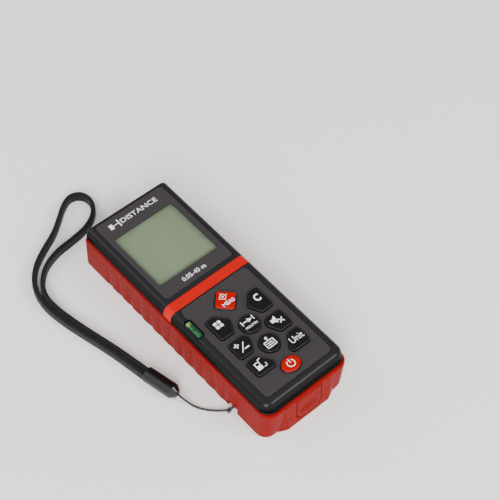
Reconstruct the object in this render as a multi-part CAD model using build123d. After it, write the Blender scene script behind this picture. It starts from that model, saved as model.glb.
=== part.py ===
"""Handheld laser distance meter with ten keys, a charging flap and a wrist strap.

Millimetres. The meter lies on its back: +Z is up through the display, +Y points where
the laser points, +X is to the right of someone reading the display. The origin is the
middle of the footprint of the meter itself, without its strap, on the surface it lies on.
"""
import os
from math import atan2, degrees, radians, tan

from build123d import *

# ---- Casing: overall sizes -------------------------------------------------------
length = 113.0               # rear housing, far face to the rim of the near face
width = 43.0                 # rear housing at its rim
rim_height = 17.1            # top of the rear housing
body_height = 22.2           # flat top of the front cover
end_bulge = 1.0              # the near face leans out by this much at the bottom
near_lean = 1.0              # its corners lean in by this much at the bottom
wall = 1.6
floor_thickness = 1.6
top_thickness = 1.8
near_corner_radius = 5.0
far_corner_radius = 1.2
bottom_edge_radius = 1.0
shoulder_height = 0.9        # rounded red shoulder under the seal
shoulder_side = 0.25
shoulder_near = 0.7

far_end = (length + end_bulge) / 2
near_end = far_end - length
half_width = width / 2

# ---- Front cover and seal --------------------------------------------------------
cover_ledge_side = 0.4       # the cover stands in from the housing by this much
cover_ledge_near = 1.1
cover_ledge_far = 0.4
cover_lean_side = 0.5        # and leans in by this much up to its top
cover_lean_near = 1.9
cover_top_radius = 3.0
cover_far_radius = 0.9
seal_thickness = 0.4
seal_inset = 0.15
seal_width = 1.2

seal_top = rim_height + seal_thickness
cover_half = half_width - cover_ledge_side
cover_near = near_end + cover_ledge_near
cover_far = far_end - cover_ledge_far
top_underside = body_height - top_thickness

# ---- Grip flutes on both long sides ----------------------------------------------
flute_count = 12
flute_pitch = 6.6
flute_radius = 5.0
flute_depth = 0.55
flute_centre = 4.8           # Y of the middle of the row
flute_top = rim_height - 1.6

# ---- Red band across the cover ---------------------------------------------------
band_width = 4.5
band_centre = 4.35
band_depth = 0.6             # how deep it is let into the cover
band_gap = 0.05

# ---- Upper panel, display --------------------------------------------------------
panel_gap = 0.2              # fine groove round each inlaid panel
panel_radius = 1.2
fascia_thickness = 1.0
fascia_half = 17.4
fascia_near = 8.9
fascia_far = 55.0
window_half = 15.1           # visible opening of the display
window_near = 15.7
window_far = 45.5
window_margin = 1.2          # the clear window is wider than the opening
window_thickness = 0.8
glass_thickness = 1.3
glass_gap = 0.2
backlight_thickness = 1.6
display_clearance = 0.2
frame_wall = 1.2
zebra_width = 1.8
zebra_margin = 0.6

# ---- Keypad panel and keys -------------------------------------------------------
keypad_half = 17.0
keypad_far = 1.4
keypad_near = -50.1
keypad_thickness = 0.7
keypad_radius = 1.8
key_height = 1.1             # keys stand above the cover by this much
key_travel = 0.8
key_clearance = 0.2
key_corner_radius = 1.2
key_top_radius = 0.4
flange_reach = 0.5
flange_thickness = 0.9
stem_radius = 1.5
red_cap_thickness = 0.8
red_cap_inset = 0.2
round_key_radius = 4.3
power_key_radii = (4.4, 3.4)
measure_half_diagonal = 5.8
measure_centre = (0, -6.5)
min_max_centre = (0, -21.0)
history_centre = (0, -32.5)
power_centre = (0, -44.8)
upper_key_outline = [(-13.4, -9.5), (-9.0, -9.5), (-4.5, -14.5), (-7.3, -20.1), (-13.4, -20.1)]
middle_key_outline = [(-13.4, -23.2), (-5.6, -23.2), (-4.5, -25.3), (-4.5, -26.6),
                      (-7.2, -31.4), (-13.4, -31.4)]
lower_key_outline = [(-13.4, -33.7), (-8.2, -33.7), (-4.4, -39.0), (-4.4, -41.7), (-13.4, -41.7)]
side_key_x = 9.6             # contacts of the left and right keys
side_key_y = (-15.0, -27.4, -38.2)

# ---- Circuit board and key mat ---------------------------------------------------
pcb_thickness = 1.2
pcb_top = 16.2
pcb_half = 18.4
pcb_near = -47.2
pcb_far = 48.6
pad_radius = 1.7
pad_thickness = 0.1
mat_thickness = 0.7
mat_half = 14.4
mat_near = -47.0
mat_far = 0.6
collar_outer = 3.0
collar_clearance = 0.3
contact_gap = 0.05
pcb_post_radius = 2.2
pcb_post_places = [(16.9, -22.0), (16.9, 9.5)]
pcb_screw_radius = 0.9
pcb_screw_head = 1.7
pcb_screw_length = 3.6
chip_places = [(-9.0, 20.0, 7.0, 7.0, 1.0), (1.0, 20.5, 5.0, 6.0, 1.2), (-12.0, 9.0, 4.0, 4.0, 1.0),
               (-3.0, 8.0, 3.5, 5.0, 1.0), (6.0, -2.0, 8.0, 8.0, 1.1)]
buzzer_radius = 6.0
buzzer_height = 2.4
buzzer_place = (-9.0, -34.0)

# ---- Spirit level ----------------------------------------------------------------
vial_radius = 1.7
vial_wall = 0.4
vial_length = 8.6
vial_side_inset = 1.65        # from the vial to the cover's edge
vial_end_gap = 0.6            # room for the slot's rounded corners
vial_corner_radius = 1.2
vial_centre = (vial_radius + vial_side_inset - cover_half, -8.5)
vial_rise = 0.1              # how far the vial stands above the cover
vial_clearance = 0.15
vial_saddle = 0.9
bubble_length = 2.6
bubble_radius = 0.75
fluid_clearance = 0.02

# ---- Screws that hold the casings together ---------------------------------------
boss_radius = 2.5
boss_joint = 12.0            # height where housing boss and cover boss meet
boss_near_inset = 5.9        # from the near face to the near bosses
boss_far_inset = 5.6
boss_side_gap = 0.2          # between a boss and the inside of the side wall
screw_radius = 1.1
screw_clearance = 0.25
screw_head_radius = 2.0
screw_head_height = 1.4
screw_head_depth = 3.0       # the heads sit this deep in the back
screw_length = 14.0

# ---- Charging port and its flap --------------------------------------------------
flap_half = 6.2
flap_gap = 0.4
flap_bottom = 2.5
flap_corner_radius = 3.8
flap_seat = 1.0              # flap thickness under the rim of the near face
hinge_height = 14.6
hinge_radius = 0.8
hinge_clearance = 0.15
port_half = 5.2
port_bottom = 3.6
port_top = 13.4
port_depth = 4.5
port_wall = 1.2
rib_count = 5
rib_pitch = 1.7
rib_radius = 0.3
rib_height = 2.6
rib_centre = 6.6
charge_board_size = (17.0, 9.0, 1.0)
charge_board_bottom = 6.2
charge_post_radius = 1.8
charge_post_spacing = 13.0
socket_size = (7.6, 5.4, 2.7)
socket_wall = 0.35
socket_clearance = 0.15
tongue_size = (4.6, 3.6, 0.7)
header_count = 5
header_pitch = 1.27
header_pin = 0.5
header_inset = 1.6

# ---- Battery ---------------------------------------------------------------------
battery_size = (30.0, 40.0, 5.6)
battery_near = -33.0
battery_pad_thickness = 0.8
battery_edge_radius = 1.6
wire_radius = 0.6
connector_size = (6.0, 4.5, 3.4)
connector_place = (11.0, 14.5)

# ---- Optics ----------------------------------------------------------------------
bench_half = 14.0
bench_length = 27.0
bench_height = 11.6
optics_height = 8.8          # beam height above the back
receiver_x = 5.0
laser_x = -8.6
receiver_lens_radius = 6.2
receiver_lens_thickness = 3.0
receiver_bore = 5.4
photodiode_radius = 2.3
photodiode_length = 3.0
laser_barrel_radius = 3.2
laser_barrel_length = 14.0
laser_barrel_wall = 0.6
diode_length = 3.2
collimator_thickness = 1.6
optics_clearance = 0.05
bench_foot_gap = 2.2         # faceplate to the front of the bench
faceplate_half = 16.5
faceplate_bottom = 1.8
faceplate_top = 15.4
faceplate_thickness = 1.0
receiver_window_radius = 6.6
laser_window_radius = 2.8
pane_thickness = 0.8
pane_ledge = 0.6
bench_screw_radius = 0.9
bench_screw_head = 1.7
bench_screw_seat = 2.4
bench_screw_length = 5.4
bench_screw_places = [(-3.3, 7.0), (-3.3, 19.0), (9.6, 24.8)]

# ---- Rear label ------------------------------------------------------------------
label_size = (30.0, 44.0, 0.2)
label_recess = 0.35

# ---- Wrist strap -----------------------------------------------------------------
notch_width = 6.0
notch_depth = 3.6
notch_height = 4.0
notch_centre = -36.0
pin_radius = 0.7
pin_height = 1.95
pin_inset = 1.7
pin_grip = 1.5               # how far the pin runs into the housing at each end
string_diameter = 0.9
knot_radius = 1.15
loop_clearance = 0.08
neck_radius = 0.7
knot_point = (-23.2, -36.0, 1.5)
string_points = [(-23.9, -35.3, 1.5), (-26.6, -32.9, 0.9), (-29.6, -29.6, 0.65),
                 (-32.1, -25.9, 1.0), (-33.6, -21.8, 2.2), (-34.4, -18.3, 3.3)]
barrel_length = 15.5
barrel_radius = 3.3
barrel_tip_radius = 1.6
barrel_start = (-34.4, -18.3)
barrel_end = (-37.7, -3.2)
webbing_thickness = 1.8
webbing_height = 4.6
webbing_points = [(-38.8, -4.1), (-40.5, 6.0), (-42.6, 17.0), (-45.4, 28.0), (-48.0, 39.0),
                  (-49.2, 50.0), (-46.8, 59.5), (-40.6, 66.9), (-32.2, 71.9), (-24.6, 75.6),
                  (-18.2, 80.4), (-12.4, 85.2), (-7.2, 87.4), (-2.9, 85.6), (-1.3, 81.2),
                  (-2.7, 76.4), (-6.8, 72.0), (-13.0, 69.2), (-20.6, 68.1), (-28.8, 67.6),
                  (-36.6, 65.0), (-42.8, 58.6), (-45.7, 50.0), (-44.9, 39.8), (-42.5, 27.8),
                  (-39.7, 17.0), (-38.0, 7.0), (-36.5, -3.6)]


# ---- Helpers ---------------------------------------------------------------------
def plan(half, near, far, near_radius, far_radius):
    """Return a rounded rectangle in XY, its near and far corners rounded differently."""
    outline = make_face(Polyline((-half, near), (half, near), (half, far), (-half, far), close=True))
    near_corners = [v for v in outline.vertices() if v.Y < (near + far) / 2]
    outline = fillet(near_corners, near_radius)
    if far_radius == 0:
        return outline
    far_corners = outline.vertices().sort_by(Axis.Y)[-2:]
    return fillet(far_corners, far_radius)


def plate(half, near, far, bottom, top, corner_radius):
    """Return a flat plate with four equal corners."""
    face = plan(half, near, far, corner_radius, corner_radius)
    return Pos(0, 0, bottom) * extrude(face, top - bottom)


def slab(x0, x1, y0, y1, z0, z1):
    """Return a box between two corners."""
    return Pos((x0 + x1) / 2, (y0 + y1) / 2, (z0 + z1) / 2) * Box(x1 - x0, y1 - y0, z1 - z0)


def post(x, y, bottom, top, radius):
    """Return an upright cylinder."""
    return Pos(x, y, (bottom + top) / 2) * Cylinder(radius, top - bottom)


def rod_y(x, z, y0, y1, radius):
    """Return a cylinder along Y."""
    return Pos(x, (y0 + y1) / 2, z) * Rot(90, 0, 0) * Cylinder(radius, y1 - y0)


def rod_x(y, z, x0, x1, radius):
    """Return a cylinder along X."""
    return Pos((x0 + x1) / 2, y, z) * Rot(0, 90, 0) * Cylinder(radius, x1 - x0)


def group(parts):
    """Return separate solids as one shape."""
    return Compound(children=list(parts))


def route(points):
    """Return straight runs joined by the largest tangent arcs, and print the arcs."""
    stops = [Vector(*p) for p in points]
    radii = []
    for before, here, after in zip(stops, stops[1:], stops[2:]):
        turn = (here - before).get_angle(after - here)
        shorter = min((here - before).length, (after - here).length)
        radii.append(0.45 * shorter / tan(radians(turn) / 2))
    path = FilletPolyline(*stops, radius=radii)
    print("route", len(points), "points, length", round(path.length, 1),
          "radii", [round(r, 1) for r in radii])
    return path


# ---- Casing ----------------------------------------------------------------------
def housing_outside():
    """Return the rear housing's outer form as one full solid."""
    shoulder_start = rim_height - shoulder_height
    lower = loft([
        plan(half_width, near_end + near_lean, far_end, near_corner_radius, far_corner_radius),
        Pos(0, 0, shoulder_start) * plan(half_width, near_end, far_end,
                                         near_corner_radius, far_corner_radius)])
    lower = fillet(lower.faces().sort_by(Axis.Z)[0].edges(), bottom_edge_radius)
    shoulder = loft([
        Pos(0, 0, shoulder_start) * plan(half_width, near_end, far_end,
                                         near_corner_radius, far_corner_radius),
        Pos(0, 0, rim_height) * plan(half_width - shoulder_side, near_end + shoulder_near,
                                     far_end - shoulder_side, near_corner_radius - shoulder_near / 2,
                                     far_corner_radius)])
    return lower + shoulder + end_bulge_form()


def end_bulge_form():
    """Return the swelling in the middle of the near face that carries the flap."""
    top = rim_height - shoulder_height
    inside = near_end + near_lean + wall
    outside = near_end - end_bulge
    side = Plane.YZ * make_face(Polyline((inside, 0), (outside, 0), (near_end, top), (inside, top),
                                         close=True))
    outer_half, inner_half = flap_half + 4.1, flap_half + 8.3
    wedge = Pos(-inner_half, 0, 0) * extrude(side, 2 * inner_half)
    footprint = make_face(Polyline((-outer_half, outside), (outer_half, outside),
                                   (inner_half, near_end + near_lean), (inner_half, inside),
                                   (-inner_half, inside), (-inner_half, near_end + near_lean),
                                   close=True))
    form = wedge & extrude(footprint, top)
    return chamfer(form.edges().filter_by(Axis.X).group_by(Axis.Z)[0].sort_by(Axis.Y)[0], 0.5)


def side_flutes():
    """Return the cutters of the grip flutes, which fade out towards the rim."""
    tilt = 57.29578 * flute_depth / flute_top
    cutters = []
    for side in (-1, 1):
        for index in range(flute_count):
            y = flute_centre + (index - (flute_count - 1) / 2) * flute_pitch
            cutter = Cylinder(flute_radius, 3 * flute_top)
            x = side * (half_width + flute_radius)
            cutters.append(Pos(x, y, flute_top) * Rot(0, side * tilt, 0) * cutter)
    return cutters


def boss_places():
    """Return the four places where screws join the casings."""
    x = half_width - wall - boss_side_gap - boss_radius
    return [(sx * x, y) for sx in (-1, 1) for y in (near_end + boss_near_inset, far_end - boss_far_inset)]


def flap_outline(grow):
    """Return the flap's U outline as a solid that reaches through the near face."""
    half = flap_half + grow
    bottom = flap_bottom - grow
    top = hinge_height
    radius = flap_corner_radius + grow
    face = make_face(Polyline((-half, bottom), (half, bottom), (half, top), (-half, top), close=True))
    face = fillet(face.vertices().group_by(Axis.Y)[0], radius)
    return extrude(Plane(origin=(0, near_end + flap_seat, 0), z_dir=(0, -1, 0), x_dir=(1, 0, 0)) * face,
                   flap_seat + end_bulge + 1)


def hinge_axis_y():
    """Return the Y of the flap's hinge axis, one bead radius behind the leaning face."""
    lean = end_bulge * (1 - hinge_height / (rim_height - shoulder_height))
    return near_end - lean + hinge_radius


def rear_housing():
    """Return the red lower casing with its port well, bosses, notch and recesses."""
    body = housing_outside()
    inner = plan(half_width - wall, near_end + wall, far_end - wall,
                 near_corner_radius - wall, far_corner_radius)
    body -= Pos(0, 0, floor_thickness) * extrude(inner, rim_height)
    for cutter in side_flutes():
        body -= cutter
    body += well_block()
    body += floor_posts()
    body += notch_block()
    body -= port_cut()
    body -= screw_cuts()
    body -= slab(-label_size[0] / 2 - 0.3, label_size[0] / 2 + 0.3, -label_size[1] / 2 - 0.3,
                 label_size[1] / 2 + 0.3, -1, label_recess)
    body -= faceplate_cut()
    body -= notch_cut()
    return body


def well_block():
    """Return the thick walls round the charging port's well."""
    back = near_end + flap_seat + port_depth + port_wall
    start = near_end + near_lean + 0.2
    return slab(-port_half - port_wall, port_half + port_wall, start, back,
                0.5, port_top + port_wall)


def port_cut():
    """Return the flap's seat, the port's well and the hole for the socket."""
    seat_y = near_end + flap_seat
    back = seat_y + port_depth
    cut = flap_outline(flap_gap)
    cut += slab(-port_half, port_half, seat_y - 0.5, back, port_bottom, port_top)
    hinge_half = flap_half + flap_gap
    cut += rod_x(hinge_axis_y(), hinge_height, -hinge_half, hinge_half, hinge_radius + hinge_clearance)
    cut += hinge_relief(hinge_half)
    width_x, _, height = socket_size
    bottom = charge_board_bottom + charge_board_size[2] - socket_clearance
    hole = width_x / 2 + socket_clearance
    cut += slab(-hole, hole, back - 0.1, back + port_wall + 0.1, bottom,
                bottom + height + 2 * socket_clearance)
    return cut


def hinge_relief(half):
    """Return the small bevel above the hinge that lets the flap swing past level."""
    bottom = hinge_height
    inside = hinge_axis_y()
    reach = 2.4
    side = Plane.YZ * make_face(Polyline((inside, bottom), (inside, bottom + hinge_radius + hinge_clearance),
                                         (inside - reach, bottom + hinge_radius + hinge_clearance + reach * 0.55),
                                         (inside - reach, bottom), close=True))
    return Pos(-half, 0, 0) * extrude(side, 2 * half)


def floor_posts():
    """Return the screw bosses, the posts of the charging board and the battery ribs."""
    base = floor_thickness - 0.1
    posts = Part()
    for x, y in boss_places():
        posts += post(x, y, base, boss_joint, boss_radius)
    for x in (-charge_post_spacing / 2, charge_post_spacing / 2):
        posts += post(x, charge_post_y(), base, charge_board_bottom, charge_post_radius)
    rib = 1.0
    rib_top = floor_thickness + battery_pad_thickness + battery_size[2] * 0.6
    side = battery_size[0] / 2 + display_clearance
    far = battery_near + battery_size[1] + display_clearance
    for sx in (-1, 1):
        posts += slab(min(sx * side, sx * (side + rib)), max(sx * side, sx * (side + rib)),
                      battery_near + 4, far - 4, base, rib_top)
    for y0 in (far, battery_near - display_clearance - rib):
        posts += slab(-8, 8, y0, y0 + rib, base, rib_top)
    for x, back in bench_screw_places:
        posts += post(x, bench_front() - back, base, bench_bottom(), bench_screw_radius + 1.2)
    return posts


def notch_block():
    """Return the thick corner that the strap's notch is cut from."""
    half = notch_width / 2 + pin_grip + 0.8
    return slab(-half_width + 1.0, -half_width + notch_depth + 1.2, notch_centre - half,
                notch_centre + half, 0.5, notch_height + 1.2)


def notch_cut():
    """Return the notch in the lower left edge and the hole for the strap pin."""
    cut = slab(-half_width - 1, -half_width + notch_depth, notch_centre - notch_width / 2,
               notch_centre + notch_width / 2, -1, notch_height)
    reach = notch_width / 2 + pin_grip
    return cut + rod_y(-half_width + pin_inset, pin_height, notch_centre - reach,
                       notch_centre + reach, pin_radius)


def screw_cuts():
    """Return the holes of the casing screws, the board screws and the bench screws."""
    cuts = Part()
    for x, y in boss_places():
        cuts += post(x, y, -1, screw_head_depth, screw_head_radius + screw_clearance)
        cuts += post(x, y, -1, boss_joint + 1, screw_radius + screw_clearance)
    for x in (-charge_post_spacing / 2, charge_post_spacing / 2):
        cuts += post(x, charge_post_y(), floor_thickness, charge_board_bottom + 1, pcb_screw_radius)
    for x, back in bench_screw_places:
        bottom = bench_bottom() + bench_screw_seat + 1.2 - bench_screw_length
        cuts += post(x, bench_front() - back, bottom, bench_bottom() + 1, bench_screw_radius)
    return cuts


def charge_post_y():
    """Return the Y of the charging board's two posts."""
    return charge_board_near() + charge_board_size[1] / 2


def charge_board_near():
    """Return the near edge of the charging board, just behind the well."""
    return near_end + flap_seat + port_depth + port_wall + 0.3


def cover_outside(inset=0.0):
    """Return the front cover's outer form, or the same form shrunk by inset."""
    bottom = plan(cover_half - inset, cover_near + inset, cover_far, near_corner_radius - inset, 0)
    top = plan(cover_half - cover_lean_side - inset, cover_near + cover_lean_near + inset,
               cover_far, near_corner_radius - cover_lean_near / 2 - inset, 0)
    form = loft([Pos(0, 0, seal_top) * bottom, Pos(0, 0, body_height - inset) * top])
    top_edges = form.faces().sort_by(Axis.Z)[-1].edges().sort_by(Axis.Y)
    return fillet(top_edges[:-1], cover_top_radius - inset)


def round_far_end(form):
    """Round the top and the two upright edges of the cover's far face."""
    far_edges = form.faces().sort_by(Axis.Y)[-1].edges().sort_by(Axis.Z)
    return fillet(far_edges[1:], cover_far_radius)


def front_cover():
    """Return the black upper casing with its recesses, openings and posts."""
    outside = round_far_end(cover_outside())
    body = outside
    inner = plan(cover_half - wall, cover_near + wall + cover_lean_near / 2, cover_far - wall,
                 near_corner_radius - wall, far_corner_radius)
    body -= Pos(0, 0, seal_top - 1) * extrude(inner, top_underside - seal_top + 1)
    body += vial_saddle_form() & outside
    body += cover_posts()
    body -= band_form(band_gap)
    body -= plate(fascia_half + panel_gap, fascia_near - panel_gap, fascia_far + panel_gap,
                  body_height - fascia_thickness, body_height + 1, panel_radius)
    body -= plate(window_half + window_margin + display_clearance,
                  window_near - window_margin - display_clearance,
                  window_far + window_margin + display_clearance,
                  seal_top, body_height, 0.6)
    body -= plate(keypad_half + panel_gap, keypad_near - panel_gap, keypad_far + panel_gap,
                  body_height - keypad_thickness, body_height + 1, keypad_radius)
    for outline in key_outlines(key_clearance).values():
        body -= Pos(0, 0, seal_top) * extrude(outline, top_thickness + 5)
    body -= vial_slot()
    body -= cover_screw_holes()
    return body


def cover_posts():
    """Return the cover's screw bosses and the posts that carry the circuit board."""
    posts = Part()
    for x, y in boss_places():
        posts += post(x, y, boss_joint, top_underside + 0.1, boss_radius)
    for x, y in pcb_post_places:
        for sx in (-1, 1):
            posts += post(sx * x, y, pcb_top, top_underside + 0.1, pcb_post_radius)
    return posts


def cover_screw_holes():
    """Return the blind holes in the cover's bosses and posts."""
    holes = Part()
    screw_top = screw_head_depth + screw_length - screw_head_height
    for x, y in boss_places():
        holes += post(x, y, boss_joint - 1, screw_top + 0.5, screw_radius)
    for x, y in pcb_post_places:
        for sx in (-1, 1):
            top = pcb_top - pcb_thickness + pcb_screw_length + 0.4
            holes += post(sx * x, y, pcb_top - 1, top, pcb_screw_radius)
    return holes


def housing_seal():
    """Return the flat gasket between the two casings."""
    outer = plan(cover_half - seal_inset, cover_near + seal_inset, cover_far - seal_inset,
                 near_corner_radius - seal_inset, far_corner_radius)
    inset = seal_inset + seal_width
    inner = plan(cover_half - inset, cover_near + inset, cover_far - inset,
                 near_corner_radius - inset, far_corner_radius)
    return Pos(0, 0, rim_height) * extrude(outer - inner, seal_thickness)


def band_form(gap):
    """Return the red band, or with a gap the groove it lies in."""
    half = band_width / 2 + gap
    strip = slab(-width, width, band_centre - half, band_centre + half, seal_top - 1, body_height + 1)
    return (cover_outside() & strip) - cover_outside(band_depth + gap)


def casing_screws():
    """Return the four screws that join the casings from the back."""
    screws = []
    for x, y in boss_places():
        head = post(x, y, screw_head_depth - screw_head_height, screw_head_depth, screw_head_radius)
        shank = post(x, y, screw_head_depth, screw_head_depth + screw_length - screw_head_height,
                     screw_radius)
        slot = cross_drive(x, y, screw_head_depth - screw_head_height, 2.2)
        screws.append(head + shank - slot)
    return group(screws)


def cross_drive(x, y, bottom, span):
    """Return the cross recess of a screw whose head faces down."""
    arm = Box(span, 0.5, 1.4) + Box(0.5, span, 1.4)
    return Pos(x, y, bottom) * arm


# ---- Display ---------------------------------------------------------------------
def display_parts():
    """Return the fascia, window, glass, backlight, frame and contact strip."""
    fascia_bottom = body_height - fascia_thickness
    fascia = plate(fascia_half, fascia_near, fascia_far, fascia_bottom, body_height, panel_radius)
    fascia -= plate(window_half, window_near, window_far, fascia_bottom - 1, body_height + 1, 0.5)
    half = window_half + window_margin
    near, far = window_near - window_margin, window_far + window_margin
    window = plate(half, near, far, fascia_bottom - window_thickness, fascia_bottom, 0.6)
    glass_top = fascia_bottom - window_thickness - glass_gap
    glass_bottom = glass_top - glass_thickness
    glass = slab(-half, half, near, far, glass_bottom, glass_top)
    light_near = near + zebra_width + zebra_margin
    backlight = slab(-half, half, light_near, far, glass_bottom - backlight_thickness, glass_bottom)
    zebra = slab(-half + 1, half - 1, near + 0.3, near + 0.3 + zebra_width, pcb_top, glass_bottom)
    outer = half + display_clearance + frame_wall
    frame = slab(-outer, outer, near - display_clearance - frame_wall,
                 far + display_clearance + frame_wall, pcb_top, glass_bottom + 0.8)
    frame -= slab(-half - display_clearance, half + display_clearance, near - display_clearance,
                  far + display_clearance, glass_bottom - backlight_thickness, body_height)
    frame -= slab(-half + 0.6, half - 0.6, near - display_clearance, light_near, pcb_top - 1,
                  body_height)
    return {"display_fascia": fascia, "display_window": window, "lcd_glass": glass,
            "backlight_plate": backlight, "zebra_strip": zebra, "lcd_frame": frame}


# ---- Keys ------------------------------------------------------------------------
def rounded(points, grow):
    """Return a polygon face with well rounded corners, grown by grow."""
    face = make_face(Polyline(*points, close=True))
    return offset(fillet(face.vertices(), key_corner_radius), grow)


def key_outlines(grow=0.0):
    """Return the outline of each key in plan, grown by grow, by name."""
    tip = measure_half_diagonal
    diamond = rounded([(0, tip), (tip, 0), (0, -tip), (-tip, 0)], grow)
    long_radius, short_radius = power_key_radii
    outlines = {
        "measure_key": Pos(*measure_centre) * diamond,
        "min_max_key": Pos(*min_max_centre) * Circle(round_key_radius + grow),
        "history_key": Pos(*history_centre) * Circle(round_key_radius + grow),
        "power_key": Pos(*power_centre) * Ellipse(long_radius + grow, short_radius + grow),
    }
    side_keys = {("function_key", "clear_key"): upper_key_outline,
                 ("plus_minus_key", "mute_key"): middle_key_outline,
                 ("reference_key", "unit_key"): lower_key_outline}
    for (left_name, right_name), points in side_keys.items():
        outlines[left_name] = rounded(points, grow)
        outlines[right_name] = mirror(rounded(points, grow), Plane.YZ)
    return outlines


def key_contacts():
    """Return the contact centre under each key, by name."""
    left = dict(zip(("function_key", "plus_minus_key", "reference_key"), side_key_y))
    right = dict(zip(("clear_key", "mute_key", "unit_key"), side_key_y))
    contacts = {name: (-side_key_x, y) for name, y in left.items()}
    contacts.update({name: (side_key_x, y) for name, y in right.items()})
    contacts.update({"measure_key": measure_centre, "min_max_key": min_max_centre,
                     "history_key": history_centre, "power_key": power_centre})
    return contacts


def sprung_key(outline, flange_outline, contact, top):
    """Return one key: cap, retaining flange under the cover, and plunger."""
    cap = Pos(0, 0, top_underside) * extrude(outline, top - top_underside)
    cap = fillet(cap.faces().sort_by(Axis.Z)[-1].edges(), key_top_radius)
    flange_bottom = top_underside - flange_thickness
    flange = Pos(0, 0, flange_bottom) * extrude(flange_outline, flange_thickness)
    stem_bottom = pcb_top + pad_thickness + key_travel + contact_gap
    return cap + flange + post(*contact, stem_bottom, flange_bottom + 0.1, stem_radius)


def keys():
    """Return the ten keys and the red caps of two of them."""
    top = body_height + key_height
    contacts = key_contacts()
    flanges = key_outlines(flange_reach)
    red_outlines = key_outlines(-red_cap_inset)
    nodes = {}
    for name, outline in key_outlines().items():
        red = name in ("measure_key", "power_key")
        nodes[name] = sprung_key(outline, flanges[name], contacts[name], top - red_cap_thickness * red)
        if red:
            cap = Pos(0, 0, top - red_cap_thickness) * extrude(red_outlines[name], red_cap_thickness)
            cap_top = cap.faces().sort_by(Axis.Z)[-1].edges()
            nodes[name + "_cap"] = fillet(cap_top, key_top_radius)
    return nodes


def keypad_panel():
    """Return the inlaid keypad panel with an opening for each key."""
    panel = plate(keypad_half, keypad_near, keypad_far, body_height - keypad_thickness,
                  body_height, keypad_radius)
    for outline in key_outlines(key_clearance).values():
        panel -= Pos(0, 0, body_height - 2) * extrude(outline, 4)
    return panel - vial_slot()


def key_mat():
    """Return the silicone mat: a sheet on the board with a stop collar under each key."""
    bottom = pcb_top + pad_thickness
    mat = slab(-mat_half, mat_half, mat_near, mat_far, bottom, bottom + mat_thickness)
    flange_bottom = top_underside - flange_thickness
    collar_top = flange_bottom - key_travel - contact_gap
    for x, y in key_contacts().values():
        mat += post(x, y, bottom, collar_top, collar_outer)
    for x, y in key_contacts().values():
        mat -= post(x, y, bottom - 1, collar_top + 1, stem_radius + collar_clearance)
    return mat


# ---- Circuit board ---------------------------------------------------------------
def board_parts():
    """Return the main board with its pads, chips, buzzer, screws and connector."""
    bottom = pcb_top - pcb_thickness
    board = plate(pcb_half, pcb_near, pcb_far, bottom, pcb_top, 1.0)
    screws = []
    for x, y in pcb_post_places:
        for sx in (-1, 1):
            board -= post(sx * x, y, bottom - 1, pcb_top + 1, pcb_screw_radius + screw_clearance)
            head = post(sx * x, y, bottom - 1.2, bottom, pcb_screw_head)
            shank = post(sx * x, y, bottom, bottom + pcb_screw_length, pcb_screw_radius)
            screws.append(head + shank - cross_drive(sx * x, y, bottom - 1.2, 1.8))
    pads = [post(x, y, pcb_top, pcb_top + pad_thickness, pad_radius)
            for x, y in key_contacts().values()]
    chips = [slab(x - w / 2, x + w / 2, y - d / 2, y + d / 2, bottom - h, bottom)
             for x, y, w, d, h in chip_places]
    buzzer = post(*buzzer_place, bottom - buzzer_height, bottom, buzzer_radius)
    buzzer -= post(*buzzer_place, bottom - buzzer_height - 1, bottom - buzzer_height + 0.8, 1.0)
    return {"main_board": board, "board_screws": group(screws), "contact_pads": group(pads),
            "circuit_chips": group(chips), "buzzer": buzzer}


def charge_board_parts():
    """Return the charging board, its socket and screws."""
    width_x, depth, thickness = charge_board_size
    near = charge_board_near()
    top = charge_board_bottom + thickness
    board = slab(-width_x / 2, width_x / 2, near, near + depth, charge_board_bottom, top)
    screws = []
    for x in (-charge_post_spacing / 2, charge_post_spacing / 2):
        y = charge_post_y()
        board -= post(x, y, 0, top + 1, pcb_screw_radius + screw_clearance)
        head = post(x, y, top, top + 1.2, pcb_screw_head)
        shank = post(x, y, top - pcb_screw_length, top, pcb_screw_radius)
        screws.append(head + shank - cross_drive(x, y, top + 1.2, 1.8))
    shell_x, shell_y, shell_z = socket_size
    mouth = near_end + flap_seat + port_depth
    socket = slab(-shell_x / 2, shell_x / 2, mouth, mouth + shell_y, top, top + shell_z)
    socket = fillet(socket.edges().filter_by(Axis.Y), 0.6)
    inside = socket_wall
    socket -= slab(-shell_x / 2 + inside, shell_x / 2 - inside, mouth - 1, mouth + shell_y - inside,
                   top + inside, top + shell_z - inside)
    tongue_x, tongue_y, tongue_z = tongue_size
    back = mouth + shell_y - inside
    middle = top + shell_z / 2 + 0.2
    tongue = slab(-tongue_x / 2, tongue_x / 2, back - tongue_y, back, middle - tongue_z / 2,
                  middle + tongue_z / 2)
    pins = []
    pin_y = near + depth - header_inset
    for index in range(header_count):
        x = (index - (header_count - 1) / 2) * header_pitch
        pins.append(slab(x - header_pin / 2, x + header_pin / 2, pin_y - header_pin / 2,
                         pin_y + header_pin / 2, top, pcb_top - pcb_thickness))
    return {"charge_board": board, "charge_board_screws": group(screws), "usb_socket": socket,
            "usb_tongue": tongue, "header_pins": group(pins)}


def port_flap():
    """Return the rubber flap over the charging port, with a bead at its hinge."""
    seat_y = near_end + flap_seat
    flap = flap_outline(0) & end_bulge_form()
    flap -= slab(-width, width, seat_y, seat_y + 5, 0, rim_height)
    flap += rod_x(hinge_axis_y(), hinge_height, -flap_half, flap_half, hinge_radius)
    face_y = near_end - end_bulge * (1 - rib_centre / (rim_height - shoulder_height))
    lean = 57.29578 * end_bulge / (rim_height - shoulder_height)
    for index in range(rib_count):
        x = (index - (rib_count - 1) / 2) * rib_pitch
        rib = Cylinder(rib_radius, rib_height)
        flap += Pos(x, face_y, rib_centre) * Rot(-lean, 0, 0) * rib
    return flap


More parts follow.
